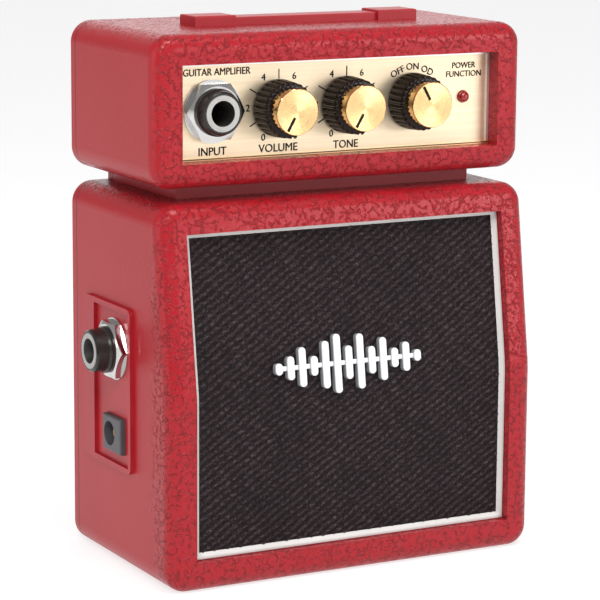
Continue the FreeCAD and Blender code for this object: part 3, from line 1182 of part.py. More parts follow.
# ---- everything ----
def parts():
    """Every node's name and shape."""
    front = Jack(INPUT_NOSE, PANEL_THICKNESS, V(INPUT_X, PANEL_Y, CONTROL_Z), Y * -1, 0)
    side_thickness = WALL + SIDE_PLATE_PROUD - SIDE_FIELD_RECESS
    phones = Jack(PHONES_NOSE, side_thickness, V(side_field_x(), PHONES_Y, PHONES_Z), X * -1, 90)
    made = {
        "cabinet_shell": cabinet_shell(), "head_shell": head_shell(), "neck_spacer": neck_spacer(),
        "neck_screws": neck_screws(), "rear_shell": rear_shell(), "case_screws": case_screws(),
        "handle_strap": handle_strap(), "handle_end_caps": handle_end_caps(),
        "side_jack_plate": side_jack_plate(), "dc_jack_body": dc_jack_body(), "dc_jack_pin": dc_jack_pin(),
        "grille_trim": grille_trim(), "grille_cloth": grille_cloth(), "speaker_baffle": speaker_baffle(),
        "front_badge": front_badge(), "control_panel": control_panel(), "panel_trim": panel_trim(),
        "power_led": power_led(), "pot_nuts": pot_nuts(),
        "input_jack_body": front.body(), "phones_jack_body": phones.body(),
        "input_tip_spring": front.leaf(), "phones_tip_spring": phones.leaf(),
        "jack_ferrules": Part.makeCompound([front.ferrule(), phones.ferrule()]),
        "jack_washers": Part.makeCompound([front.washer(), phones.washer()]),
        "jack_nuts": Part.makeCompound([front.nut(), phones.nut()]),
        "main_board": main_board(), "board_screws": board_screws(), "amplifier_chip": amplifier_chip(),
        "capacitors": capacitors(), "resistors": resistors(), "wiring": wiring(),
        "speaker_frame": speaker_frame(), "speaker_top_plate": speaker_top_plate(),
        "speaker_magnet": speaker_magnet(), "speaker_yoke": speaker_yoke(), "speaker_screws": speaker_screws(),
        "speaker_terminals": speaker_terminals(),
        "speaker_cone": speaker_cone(), "voice_coil": voice_coil(), "dust_cap": dust_cap(),
        "cone_surround": cone_surround(), "cone_spider": cone_spider(),
        "battery": battery(), "battery_snap": battery_snap(), "battery_door": battery_door(),
        "belt_clip_base": belt_clip_base(), "belt_clip_lever": belt_clip_lever(),
    }
    for kind, x in (("volume", VOLUME_X), ("tone", TONE_X), ("function", FUNCTION_X)):
        made[kind + "_knob"] = knob_body(x)
        made[kind + "_knob_cap"] = knob_cap(x, knob_angle(kind))
        made[kind + "_shaft"] = control_shaft(x)
        made["function_switch" if kind == "function" else kind + "_pot"] = control_pot(x)
    return made


os.makedirs("parts", exist_ok=True)
for name, shape in parts().items():
    if not shape.isValid():
        print("INVALID", name)
    for solid in shape.Solids:
        if solid.Volume <= 0:
            print("NEGATIVE", name)
    shape.exportStep("parts/" + name + ".step")
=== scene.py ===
"""Looks of a pocket-size guitar amplifier, built around its fixed frame.

Sizes inside the classes are in millimetres, in the frame's own axes: +Z up, -Y the front, +X the viewer's right.
"""
import logging
import math
from dataclasses import dataclass, field
from enum import Enum
from typing import Callable, ClassVar

import bmesh
import bpy
import numpy as np
from mathutils import Matrix, Vector


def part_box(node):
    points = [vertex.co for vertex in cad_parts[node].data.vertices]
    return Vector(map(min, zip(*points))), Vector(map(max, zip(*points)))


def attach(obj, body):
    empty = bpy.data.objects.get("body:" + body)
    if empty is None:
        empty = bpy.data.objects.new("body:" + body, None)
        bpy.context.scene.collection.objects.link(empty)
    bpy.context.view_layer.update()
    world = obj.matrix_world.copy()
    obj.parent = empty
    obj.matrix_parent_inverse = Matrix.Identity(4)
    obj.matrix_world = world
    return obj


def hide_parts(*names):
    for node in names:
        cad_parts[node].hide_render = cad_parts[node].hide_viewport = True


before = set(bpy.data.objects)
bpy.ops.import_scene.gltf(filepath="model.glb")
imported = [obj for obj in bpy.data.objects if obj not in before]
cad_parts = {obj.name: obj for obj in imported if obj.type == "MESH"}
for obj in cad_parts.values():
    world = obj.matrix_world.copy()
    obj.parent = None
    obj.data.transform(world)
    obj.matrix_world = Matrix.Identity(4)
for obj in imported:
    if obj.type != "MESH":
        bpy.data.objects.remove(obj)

MM = 0.001
LOG = logging.getLogger("amplifier")
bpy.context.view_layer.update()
Colour = tuple[float, float, float]


# ---------------------------------------------------------------- shader tools
class Shade:
    """A number in a material: wraps a node socket, so that sums are written as Python expressions."""

    def __init__(self, nodes: "NodeBench", socket: bpy.types.NodeSocket) -> None:
        """Keeps the bench that adds nodes and the socket that holds the number."""
        self.nodes = nodes
        self.socket = socket

    def _math(self, operation: str, first: object, second: object = None) -> "Shade":
        """Adds one Math node.

        Args:
            operation: the Math node's operation.
            first: its first value, a number or a Shade.
            second: its second value, where it has one.

        Returns:
            The node's result.
        """
        values = {0: first} if second is None else {0: first, 1: second}
        return Shade(self.nodes, self.nodes.add("Math", {"operation": operation}, values).outputs[0])

    def __add__(self, other: object) -> "Shade":
        """self + other."""
        return self._math("ADD", self, other)

    __radd__ = __add__

    def __sub__(self, other: object) -> "Shade":
        """self - other."""
        return self._math("SUBTRACT", self, other)

    def __rsub__(self, other: object) -> "Shade":
        """other - self."""
        return self._math("SUBTRACT", other, self)

    def __mul__(self, other: object) -> "Shade":
        """self * other."""
        return self._math("MULTIPLY", self, other)

    __rmul__ = __mul__

    def __abs__(self) -> "Shade":
        """The size of self without its sign."""
        return self._math("ABSOLUTE", self)

    def wave(self) -> "Shade":
        """The sine of self."""
        return self._math("SINE", self)

    def least(self, other: object) -> "Shade":
        """The smaller of self and other."""
        return self._math("MINIMUM", self, other)

    def most(self, other: object) -> "Shade":
        """The larger of self and other."""
        return self._math("MAXIMUM", self, other)

    def ramp(self, low: float, high: float) -> "Shade":
        """A smooth step: 0 below low, 1 above high.

        Args:
            low: where the step starts.
            high: where it ends; it may be below low, which turns the step round.

        Returns:
            A number from 0 to 1.
        """
        swap = high < low
        start, end = (high, low) if swap else (low, high)
        node = self.nodes.add("MapRange", {"interpolation_type": "SMOOTHSTEP"},
                              {"Value": self, "From Min": start, "From Max": end})
        step = Shade(self.nodes, node.outputs[0])
        return 1.0 - step if swap else step


class NodeBench:
    """A node tree, with the few ways in which this object's finishes and its surroundings add nodes."""

    def __init__(self, tree: bpy.types.NodeTree) -> None:
        """Keeps the tree."""
        self.tree = tree

    def add(self, kind: str, settings: dict | None = None, inputs: dict | None = None) -> bpy.types.Node:
        """Adds any node.

        Args:
            kind: the node's type, without "ShaderNode".
            settings: properties that are set first.
            inputs: values or links of its sockets, by name or number.

        Returns:
            The new node.
        """
        node = self.tree.nodes.new("ShaderNode" + kind)
        for key, value in (settings or {}).items():
            setattr(node, key, value)
        for key, value in (inputs or {}).items():
            self.fill(node.inputs[key], value)
        return node

    def fill(self, socket: bpy.types.NodeSocket, value: object) -> None:
        """Links a socket or a Shade to a socket, or sets its value; a colour gets its fourth number."""
        value = value.socket if isinstance(value, Shade) else value
        if isinstance(value, bpy.types.NodeSocket):
            self.tree.links.new(value, socket)
        elif isinstance(value, tuple) and len(value) == 3 and len(socket.default_value) == 4:
            socket.default_value = (*value, 1.0)
        else:
            socket.default_value = value

    def places(self) -> bpy.types.NodeSocket:
        """The surface's place in millimetres, in the frame's axes."""
        source = self.add("TexCoord")
        scaled = self.add("VectorMath", {"operation": "SCALE"}, {0: source.outputs["Object"], "Scale": 1000.0})
        return scaled.outputs[0]

    def stretch(self, vector: bpy.types.NodeSocket, factors: Colour,
                shift: Colour = (0, 0, 0)) -> bpy.types.NodeSocket:
        """Moves a place by shift and then scales it along each axis."""
        node = self.add("Mapping", {"vector_type": "TEXTURE"},
                        {"Vector": vector, "Location": shift, "Scale": tuple(1.0 / f for f in factors)})
        return node.outputs[0]

    def axes(self, vector: bpy.types.NodeSocket) -> tuple[Shade, Shade, Shade]:
        """The three numbers of a vector."""
        node = self.add("SeparateXYZ", inputs={0: vector})
        return tuple(Shade(self, socket) for socket in node.outputs)

    def noise(self, vector: bpy.types.NodeSocket, scale: float, detail: float = 3.0, rough: float = 0.5) -> Shade:
        """Soft random values from 0 to 1.

        Args:
            vector: the place.
            scale: lumps per unit of place.
            detail: how many finer layers.
            rough: how strong the finer layers are.

        Returns:
            The value.
        """
        node = self.add("TexNoise", inputs={"Vector": vector, "Scale": scale, "Detail": detail, "Roughness": rough})
        return Shade(self, node.outputs[0])

    def warp(self, vector: bpy.types.NodeSocket, scale: float, reach: float) -> bpy.types.NodeSocket:
        """Pushes a place about at random, by up to reach."""
        node = self.add("TexNoise", inputs={"Vector": vector, "Scale": scale, "Detail": 3.0})
        centred = self.add("VectorMath", {"operation": "SUBTRACT"}, {0: node.outputs[1], 1: (0.5, 0.5, 0.5)})
        pushed = self.add("VectorMath", {"operation": "MULTIPLY_ADD"},
                          {0: centred.outputs[0], 1: (2 * reach, 2 * reach, 2 * reach), 2: vector})
        return pushed.outputs[0]

    def cracks(self, vector: bpy.types.NodeSocket, scale: float) -> Shade:
        """How far a place is from the nearest line of a net of cells, in cell widths."""
        node = self.add("TexVoronoi", {"feature": "DISTANCE_TO_EDGE"}, {"Vector": vector, "Scale": scale})
        return Shade(self, node.outputs[0])

    def mix(self, factor: object, low: object, high: object) -> bpy.types.NodeSocket:
        """A colour between two colours."""
        node = self.add("Mix", {"data_type": "RGBA"}, {0: factor, 6: low, 7: high})
        return node.outputs[2]

    def bump(self, height: Shade, depth: float, under: bpy.types.NodeSocket | None = None) -> bpy.types.NodeSocket:
        """A normal that leans as the height says.

        Args:
            height: the height, about 0 to 1.
            depth: millimetres that a height of 1 stands for.
            under: the normal that this one is laid on.

        Returns:
            The normal's socket.
        """
        inputs = {"Height": height, "Distance": depth * MM, "Strength": 1.0}
        if under is not None:
            inputs["Normal"] = under
        return self.add("Bump", inputs=inputs).outputs[0]


class FinishBench(NodeBench):
    """The node tree of one finish: a Principled shader and what leads to it."""

    def __init__(self, name: str) -> None:
        """Makes an empty material with a Principled shader."""
        self.material = bpy.data.materials.new(name)
        self.material.use_nodes = True
        super().__init__(self.material.node_tree)
        self.tree.nodes.clear()
        output = self.tree.nodes.new("ShaderNodeOutputMaterial")
        self.shader = self.tree.nodes.new("ShaderNodeBsdfPrincipled")
        self.tree.links.new(self.shader.outputs[0], output.inputs["Surface"])

    def finish(self, **sockets: object) -> bpy.types.Material:
        """Sets the shader's sockets and gives the material; underscores in names stand for spaces."""
        for key, value in sockets.items():
            self.fill(self.shader.inputs[key.replace("_", " ")], value)
        return self.material


# ---------------------------------------------------------------- finishes
@dataclass(frozen=True)
class GrainedPlastic:
    """Red moulded plastic with a leather grain: short creases round smooth pebbles, almost smooth on the sides."""

    colour: Colour = (0.36, 0.009, 0.016)
    # deeper red: painted shade in the creases, and also the dark seam line at the split
    crease_colour: Colour = (0.11, 0.002, 0.004)
    # paler red: painted highlight along the soft lip beside each crease
    bloom_colour: Colour = (0.52, 0.045, 0.055)
    cell: float = 2.5
    crease_depth: float = 0.30
    fine_depth: float = 0.030
    half_width: float = 52.5
    front: float = -30.0
    split: float = 26.0

    def creases(self, bench: NodeBench, place: bpy.types.NodeSocket, size: float,
                share: float) -> tuple[Shade, Shade]:
        """One layer of creases: the borders of a warped net of cells, most of them rubbed out by slow noise.

        Args:
            bench: the material's bench.
            place: the surface's place.
            size: the cells' size in millimetres.
            share: how much of the net is rubbed out, from 0 to 1.

        Returns:
            The crease's cut, and the soft lip that rises beside it, both from 0 to 1.
        """
        bent = bench.warp(bench.warp(place, 0.35, 0.9), 1.2, 0.44)
        edge = bench.cracks(bent, 1.0 / size)
        shown = bench.noise(bench.stretch(place, (1, 1, 1), (17.0 * size, 5.0, 9.0)), 0.85, 2.0)
        shown = shown.ramp(share - 0.02, share + 0.06)
        return edge.ramp(0.050, 0.010) * shown, edge.ramp(0.15, 0.05) * shown

    def material(self, name: str) -> bpy.types.Material:
        """Builds the finish from a large and a small layer of creases over a fine mould texture.

        The creases fade on the flat sides, more than about a centimetre behind the front, where only faint ones
        and the fine texture stay.
        """
        bench = FinishBench(name)
        place = bench.places()
        x, y, z = bench.axes(place)
        cut, lip = self.creases(bench, place, self.cell, 0.485)
        small_cut, small_lip = self.creases(bench, place, self.cell * 0.55, 0.545)
        on_side = abs(x).ramp(self.half_width - 2.6, self.half_width - 0.4)
        wander = bench.noise(place, 0.16, 1.0) * 7.0
        calm = on_side * (y - wander).ramp(self.front + 2.5, self.front + 9.5)
        coarse = 1.0 - calm * 0.94
        fine = bench.noise(place, 2.2, 4.0, 0.6)
        pebble = bench.noise(bench.warp(place, 0.8, 0.4), 0.75, 1.0)
        seam = abs(y - self.split).ramp(0.20, 0.05)
        cut = cut.most(small_cut * 0.6) * coarse
        lip = lip.most(small_lip * 0.5) * coarse
        height = lip * 0.55 - cut * 0.9 + pebble * coarse * 0.18 - seam * 1.2
        normal = bench.bump(height, self.crease_depth, bench.bump(fine, self.fine_depth))
        tone = bench.noise(place, 0.05, 2.0)
        # random tone, plus a painted highlight that lightens the lip beside each crease
        colour = bench.mix(tone.ramp(0.3, 0.7) * 0.06 + lip * 0.20, self.colour, self.bloom_colour)
        # painted shade darkens the creases; the seam at the split takes the same deeper red as a dark joint
        colour = bench.mix((cut * 0.5 + seam * 0.9).least(1.0), colour, self.crease_colour)
        roughness = 0.22 + fine * 0.10 + calm * 0.08 - lip * 0.06 + cut * 0.35
        return bench.finish(Base_Color=colour, Roughness=roughness, Normal=normal, Specular_IOR_Level=0.30)


@dataclass(frozen=True)
class SatinPlastic:
    """Plain moulded plastic with a faint mould texture, and dust or handling marks in the colour."""

    colour: Colour
    worn_colour: Colour
    roughness: float = 0.38
    grain: float = 2.8
    grain_depth: float = 0.012
    coat: float = 0.0
    shine: float = 0.4

    def material(self, name: str) -> bpy.types.Material:
        """Builds the finish from fine noise for the mould's texture and slow noise for handling marks."""
        bench = FinishBench(name)
        place = bench.places()
        fine = bench.noise(place, self.grain, 4.0, 0.6)
        slow = bench.noise(place, 0.12, 3.0)
        colour = bench.mix(slow.ramp(0.35, 0.75) * 0.35, self.colour, self.worn_colour)
        roughness = self.roughness + fine * 0.12 - 0.06 + slow * 0.06
        normal = bench.bump(fine, self.grain_depth)
        return bench.finish(Base_Color=colour, Roughness=roughness, Normal=normal, Coat_Weight=self.coat,
                            Coat_Roughness=0.15, Specular_IOR_Level=self.shine)


@dataclass(frozen=True)
class BrushedSheet:
    """Metal sheet brushed along X: long fine scratches in the colour, the roughness and the normal."""

    colour: Colour
    streak_colour: Colour
    roughness: float = 0.30
    depth: float = 0.012

    def material(self, name: str) -> bpy.types.Material:
        """Builds the finish from noise that is stretched along X, in a coarse and a fine layer."""
        bench = FinishBench(name)
        place = bench.places()
        fine = bench.noise(bench.stretch(place, (0.03, 1.0, 7.0)), 1.0, 4.0, 0.7)
        coarse = bench.noise(bench.stretch(place, (0.015, 0.3, 1.3)), 1.0, 3.0, 0.6)
        colour = bench.mix((fine * 0.6 + coarse * 0.5).ramp(0.35, 0.8), self.colour, self.streak_colour)
        roughness = self.roughness + fine * 0.16 - 0.06
        normal = bench.bump(fine * 0.7 + coarse * 0.3, self.depth)
        return bench.finish(Base_Color=colour, Roughness=roughness, Normal=normal, Metallic=0.80)


@dataclass(frozen=True)
class EdgedTrim:
    """The window's bright frame: silver; at its bottom pale gold, a black painted shadow line, a bronze painted
    reflection.
    """

    silver: Colour = (0.80, 0.79, 0.77)
    # bronze of a painted reflection of the window's floor, along the frame's bottom
    gilt: Colour = (0.72, 0.45, 0.24)
    line: tuple[float, float] = (106.20, 106.44)
    # black of a painted shadow along the bottom of the window, under the panel's edge
    line_colour: Colour = (0.01, 0.01, 0.01)
    lit_gilt: Colour = (0.88, 0.68, 0.40)
    # top of the frame's bottom band, where the pale gold and the painted reflection begin
    gilt_top: tuple[float, float] = (107.0, 106.9)

    def material(self, name: str) -> bpy.types.Material:
        """Builds the finish; the place along Z says which part a point belongs to."""
        bench = FinishBench(name)
        place = bench.places()
        _, _, z = bench.axes(place)
        low, high = self.line
        streak = bench.noise(bench.stretch(place, (0.05, 2.0, 2.0)), 1.0, 3.0, 0.6)
        # painted shadow: a thin black line along the frame's bottom, where the metal is also taken off
        black = z.ramp(low - 0.03, low + 0.03) * z.ramp(high + 0.03, high - 0.03)
        # below the band's top the silver turns to the bronze painted reflection
        colour = bench.mix(z.ramp(*self.gilt_top), self.silver, self.gilt)
        colour = bench.mix(z.ramp(low, high) * z.ramp(*self.gilt_top), colour, self.lit_gilt)
        colour = bench.mix(black, colour, self.line_colour)
        return bench.finish(Base_Color=colour, Roughness=0.24 + streak * 0.15, Metallic=0.85 - black * 0.8,
                            Normal=bench.bump(streak, 0.004))


@dataclass(frozen=True)
class TwoTone:
    """Glossy white enamel, grey towards the flanks; the piece's rise attribute says how near the top a point is."""

    face: Colour = (0.86, 0.86, 0.88)
    flank: Colour = (0.30, 0.30, 0.32)

    def material(self, name: str) -> bpy.types.Material:
        """Builds the finish, with faint ripples in the enamel."""
        bench = FinishBench(name)
        rise = Shade(bench, bench.add("Attribute", {"attribute_name": "rise"}).outputs["Fac"])
        ripple = bench.noise(bench.places(), 1.2, 3.0)
        colour = bench.mix(rise.ramp(0.55, 0.9) - ripple * 0.06, self.flank, self.face)
        return bench.finish(Base_Color=colour, Roughness=0.20 + ripple * 0.12, Normal=bench.bump(ripple, 0.01),
                            Coat_Weight=0.4, Coat_Roughness=0.08)


@dataclass(frozen=True)
class SpunMetal:
    """Metal turned on a lathe about an axis along Y: fine rings that spread highlights into bright wedges."""

    colour: Colour
    ring_colour: Colour
    centre: tuple[float, float]
    rim: float = 5.5
    roughness: float = 0.20
    lean: float = 1.5

    def material(self, name: str) -> bpy.types.Material:
        """Builds the finish: the normal leans in or out by a value that changes quickly with the radius.

        Outside the rim, on the bevel and the flank, the metal is polished.
        """
        bench = FinishBench(name)
        place = bench.stretch(bench.places(), (1, 1, 1), (self.centre[0], 0.0, self.centre[1]))
        x, _, z = bench.axes(place)
        flat = bench.add("CombineXYZ", inputs={0: x, 2: z}).outputs[0]
        radius = Shade(bench, bench.add("VectorMath", {"operation": "LENGTH"}, {0: flat}).outputs[1])
        rings = bench.add("TexNoise", {"noise_dimensions": "1D"}, {"W": radius, "Scale": 9.0, "Detail": 5.0,
                                                                   "Roughness": 0.8})
        ring = Shade(bench, rings.outputs[0])
        outwards = bench.add("VectorMath", {"operation": "NORMALIZE"}, {0: flat}).outputs[0]
        world = bench.add("VectorTransform", {"vector_type": "VECTOR", "convert_from": "OBJECT",
                                              "convert_to": "WORLD"}, {0: outwards}).outputs[0]
        face = radius.ramp(self.rim + 0.06, self.rim)
        push = (ring - 0.5) * self.lean * radius.ramp(0.0, 0.35) * face
        lean = bench.add("VectorMath", {"operation": "SCALE"}, {0: world, "Scale": push}).outputs[0]
        plain = bench.add("NewGeometry").outputs["Normal"]
        total = bench.add("VectorMath", {"operation": "ADD"}, {0: plain, 1: lean}).outputs[0]
        normal = bench.add("VectorMath", {"operation": "NORMALIZE"}, {0: total}).outputs[0]
        colour = bench.mix(ring.ramp(0.35, 0.65) * face * 0.5, self.colour, self.ring_colour)
        roughness = 0.07 + (self.roughness - 0.07 + ring * 0.08) * face
        return bench.finish(Base_Color=colour, Roughness=roughness, Normal=normal, Metallic=1.0)


@dataclass(frozen=True)
class PlatedMetal:
    """Plated or bare metal with fine random scratches and slow tarnish."""

    colour: Colour
    tarnish: Colour
    roughness: float = 0.14
    depth: float = 0.004

    def material(self, name: str) -> bpy.types.Material:
        """Builds the finish: scratches are stretched noise, and tarnish is slow noise."""
        bench = FinishBench(name)
        place = bench.places()
        scratch = bench.noise(bench.stretch(place, (0.8, 3.0, 5.0)), 1.0, 4.0, 0.7)
        slow = bench.noise(place, 0.35, 3.0)
        colour = bench.mix(slow.ramp(0.45, 0.8) * 0.5, self.colour, self.tarnish)
        roughness = self.roughness + scratch * 0.10 + slow * 0.06
        return bench.finish(Base_Color=colour, Roughness=roughness, Normal=bench.bump(scratch, self.depth),
                            Metallic=1.0)


@dataclass(frozen=True)
class WovenCloth:
    """Black and brown grille cloth; the piece's crown attribute says how high its threads stand."""

    # low: the dark between the threads, the cloth's own dark with painted shade of the hollows; high: the threads'
    # crowns
    low: Colour = (0.0035, 0.0016, 0.0020)
    high: Colour = (0.082, 0.056, 0.061)
    fleck: Colour = (0.150, 0.125, 0.130)

    def material(self, name: str) -> bpy.types.Material:
        """Builds the finish: dark between the threads, partly painted shade in the weave's hollows, paler on their
        crowns, with twisted fibres across them.
        """
        bench = FinishBench(name)
        place = bench.places()
        crown = Shade(bench, bench.add("Attribute", {"attribute_name": "crown"}).outputs["Fac"])
        x, _, z = bench.axes(place)
        fibre = ((x * 0.8 + z * 1.0) * 22.0 + bench.noise(place, 1.2, 2.0) * 6.0).wave() * 0.5 + 0.5
        lint = bench.noise(place, 5.5, 3.0, 0.7)
        slow = bench.noise(place, 0.07, 2.0)
        grit = bench.noise(place, 1.9, 3.0, 0.75)
        # darker in the weave's hollows than on the crowns: the threads' own tone plus painted shade
        thread_tone_and_shade = ((crown * 0.85 + fibre * crown * 0.20) * (grit.ramp(0.36, 0.62) * 1.05 + 0.15)).least(1.0)
        colour = bench.mix(thread_tone_and_shade, self.low, self.high)
        colour = bench.mix((lint + grit * 0.6).ramp(0.86, 1.06) * (crown * 0.7 + 0.25), colour, self.fleck)
        colour = bench.mix(slow.ramp(0.4, 0.7) * 0.25, colour, self.low)
        normal = bench.bump(fibre * 0.5 + lint * 0.6 + grit * 1.2, 0.07)
        return bench.finish(Base_Color=colour, Roughness=0.55 + lint * 0.3, Normal=normal, Specular_IOR_Level=0.16)


@dataclass(frozen=True)
class TintedLens:
    """Clear tinted plastic of a lamp, with a faint glow."""

    colour: Colour = (0.30, 0.004, 0.006)
    cloudy: Colour = (0.12, 0.002, 0.003)

    def material(self, name: str) -> bpy.types.Material:
        """Builds the finish; slow noise clouds the plastic a little."""
        bench = FinishBench(name)
        cloud = bench.noise(bench.places(), 1.5, 2.0)
        colour = bench.mix(cloud.ramp(0.3, 0.8) * 0.5, self.colour, self.cloudy)
        return bench.finish(Base_Color=colour, Roughness=0.10 + cloud * 0.08, Emission_Color=colour,
                            Emission_Strength=0.15, Coat_Weight=0.6, Coat_Roughness=0.05)


@dataclass(frozen=True)
class CircuitBoard:
    """Green lacquered board with paler tracks under the lacquer."""

    colour: Colour = (0.010, 0.10, 0.030)
    track: Colour = (0.030, 0.22, 0.070)

    def material(self, name: str) -> bpy.types.Material:
        """Builds the finish: tracks are the edges of a net of squarish cells."""
        bench = FinishBench(name)
        place = bench.places()
        net = bench.add("TexVoronoi", {"feature": "F1", "distance": "CHEBYCHEV"}, {"Vector": place, "Scale": 0.35})
        track = Shade(bench, net.outputs[0]).ramp(0.30, 0.36) * Shade(bench, net.outputs[0]).ramp(0.52, 0.46)
        colour = bench.mix(track, self.colour, self.track)
        return bench.finish(Base_Color=colour, Roughness=0.30 + track * 0.1, Normal=bench.bump(track, 0.02))


@dataclass(frozen=True)
class BatteryWrap:
    """A battery's printed wrap: dark with a copper band at the terminal end, no lettering."""

    split: float = -6.0
    dark: Colour = (0.012, 0.012, 0.014)
    copper: Colour = (0.50, 0.19, 0.06)

    def material(self, name: str) -> bpy.types.Material:
        """Builds the finish from the place along X."""
        bench = FinishBench(name)
        place = bench.places()
        x, _, _ = bench.axes(place)
        band = x.ramp(self.split + 0.3, self.split - 0.3)
        wear = bench.noise(place, 0.8, 3.0)
        colour = bench.mix(band, self.dark, self.copper)
        return bench.finish(Base_Color=colour, Roughness=0.30 + wear * 0.15, Metallic=band * 0.8,
                            Normal=bench.bump(wear, 0.01))


class Finishes:
    """Every finish of the amplifier, made once and handed out by name."""

    def __init__(self) -> None:
        """Lists the finishes; a material is built when it is first asked for."""
        red = (0.36, 0.010, 0.018)
        self.known: dict[str, object] = {
            "grained_red": GrainedPlastic(),
            "smooth_red": SatinPlastic(red, (0.46, 0.03, 0.04), 0.36, 3.0, 0.010),
            "gold_sheet": BrushedSheet((0.80, 0.64, 0.44), (0.89, 0.75, 0.56), 0.38),
            "bright_edge": EdgedTrim(),
            "black_knob": SatinPlastic((0.007, 0.0032, 0.0026), (0.014, 0.007, 0.006), 0.17, 3.5, 0.002, 0.0, 0.22),
            "jack_black": SatinPlastic((0.014, 0.012, 0.012), (0.030, 0.026, 0.025), 0.24, 4.0, 0.004, 0.1),
            "socket_grey": SatinPlastic((0.075, 0.072, 0.078), (0.11, 0.105, 0.11), 0.42, 3.5, 0.012),
            "nickel": PlatedMetal((0.64, 0.63, 0.62), (0.46, 0.45, 0.43), 0.07),
            "ferrule_silver": PlatedMetal((0.44, 0.43, 0.41), (0.32, 0.31, 0.29), 0.30),
            "zinc": PlatedMetal((0.60, 0.60, 0.61), (0.50, 0.50, 0.51), 0.30, 0.003),
            "brass": PlatedMetal((0.80, 0.58, 0.25), (0.50, 0.34, 0.14), 0.24),
            "pale_trim": SatinPlastic((0.66, 0.64, 0.62), (0.52, 0.50, 0.48), 0.34, 3.0, 0.006, 0.1),
            "badge_white": TwoTone(),
            "ink": SatinPlastic((0.006, 0.006, 0.007), (0.014, 0.014, 0.014), 0.55, 6.0, 0.002, 0.0, 0.2),
            "grille_weave": WovenCloth(),
            "lamp_red": TintedLens(),
            "board_green": CircuitBoard(),
            "battery_wrap": BatteryWrap(),
            "black_parts": SatinPlastic((0.015, 0.015, 0.018), (0.05, 0.05, 0.055), 0.35, 4.0, 0.01),
            "can_blue": SatinPlastic((0.012, 0.025, 0.09), (0.03, 0.05, 0.14), 0.30, 4.0, 0.004, 0.3),
            "resistor_tan": SatinPlastic((0.45, 0.30, 0.16), (0.30, 0.18, 0.09), 0.40, 6.0, 0.01),
            "wire_grey": SatinPlastic((0.05, 0.05, 0.05), (0.12, 0.11, 0.11), 0.45, 5.0, 0.01),
            "cone_paper": SatinPlastic((0.022, 0.021, 0.020), (0.06, 0.057, 0.053), 0.85, 1.6, 0.06),
            "soft_rubber": SatinPlastic((0.014, 0.014, 0.014), (0.04, 0.04, 0.04), 0.70, 3.0, 0.02),
            "ferrite": SatinPlastic((0.030, 0.030, 0.033), (0.07, 0.07, 0.07), 0.60, 2.0, 0.05),
            "baffle_black": SatinPlastic((0.010, 0.010, 0.010), (0.025, 0.025, 0.025), 0.60, 1.5, 0.04),
        }
        self.made: dict[str, bpy.types.Material] = {}

    def get(self, name: str) -> bpy.types.Material:
        """The material of that name."""
        if name not in self.made:
            self.made[name] = self.known[name].material(name)
        return self.made[name]


# ---------------------------------------------------------------- surfaces
@dataclass
class Patch:
    """A surface on a grid of points, in millimetres, which may close on itself along either direction."""

    points: np.ndarray
    closed_rows: bool = False
    closed_columns: bool = False
    turned: bool = False

    def faces(self, first: int) -> np.ndarray:
        """Four corners for each cell of the grid, counted from the patch's first vertex."""
        rows, columns = self.points.shape[:2]
        index = np.arange(rows * columns).reshape(rows, columns) + first
        if self.closed_rows:
            index = np.vstack([index, index[:1]])
        if self.closed_columns:
            index = np.hstack([index, index[:, :1]])
        quads = np.stack([index[:-1, :-1], index[:-1, 1:], index[1:, 1:], index[1:, :-1]], -1).reshape(-1, 4)
        return quads[:, ::-1] if self.turned else quads


@dataclass
class Piece:
    """A new visible piece: its patches, its finish, and the body and nodes that it goes with."""

    name: str
    patches: list[Patch]
    finish: str
    slot: str
    body: str = "case"
    replaced: tuple[str, ...] = ()
    attributes: dict[str, np.ndarray] = field(default_factory=dict)
    merge: bool = True

    def make(self, finishes: Finishes) -> bpy.types.Object:
        """Puts the piece into the scene.

        Args:
            finishes: where its material comes from.

        Returns:
            The new object, at the origin, with its place in its mesh.
        """
        mesh = bpy.data.meshes.new(self.name)
        points = np.concatenate([p.points.reshape(-1, 3) for p in self.patches]) * MM
        starts = np.cumsum([0] + [p.points.shape[0] * p.points.shape[1] for p in self.patches[:-1]])
        quads = np.concatenate([p.faces(int(s)) for p, s in zip(self.patches, starts)])
        mesh.vertices.add(len(points))
        mesh.vertices.foreach_set("co", points.astype(np.float32).ravel())
        mesh.loops.add(quads.size)
        mesh.loops.foreach_set("vertex_index", quads.astype(np.int32).ravel())
        mesh.polygons.add(len(quads))
        mesh.polygons.foreach_set("loop_start", np.arange(0, quads.size, 4, dtype=np.int32))
        mesh.update(calc_edges=True)
        for key, values in self.attributes.items():
            mesh.attributes.new(key, "FLOAT", "POINT").data.foreach_set("value", values.astype(np.float32).ravel())
        if self.merge:
            self.close(mesh)
        mesh.polygons.foreach_set("use_smooth", np.ones(len(mesh.polygons), bool))
        piece = bpy.data.objects.new(self.name, mesh)
        bpy.context.scene.collection.objects.link(piece)
        return self.place(piece, finishes)

    def place(self, piece: bpy.types.Object, finishes: Finishes) -> bpy.types.Object:
        """Dresses an object and ties it to its body and nodes."""
        piece.data.materials.clear()
        piece.data.materials.append(finishes.get(self.finish))
        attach(piece, self.body)
        if self.replaced:
            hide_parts(*self.replaced)
        LOG.info("%s: %d faces, on %s", self.name, len(piece.data.polygons), self.body)
        return piece

    @staticmethod
    def close(mesh: bpy.types.Mesh) -> None:
        """Merges points that lie on each other, such as a pole's, and turns the faces outwards."""
        work = bmesh.new()
        work.from_mesh(mesh)
        bmesh.ops.remove_doubles(work, verts=work.verts, dist=2e-6)
        bmesh.ops.dissolve_degenerate(work, dist=1e-7, edges=work.edges)
        bmesh.ops.recalc_face_normals(work, faces=work.faces)
        work.to_mesh(mesh)
        work.free()


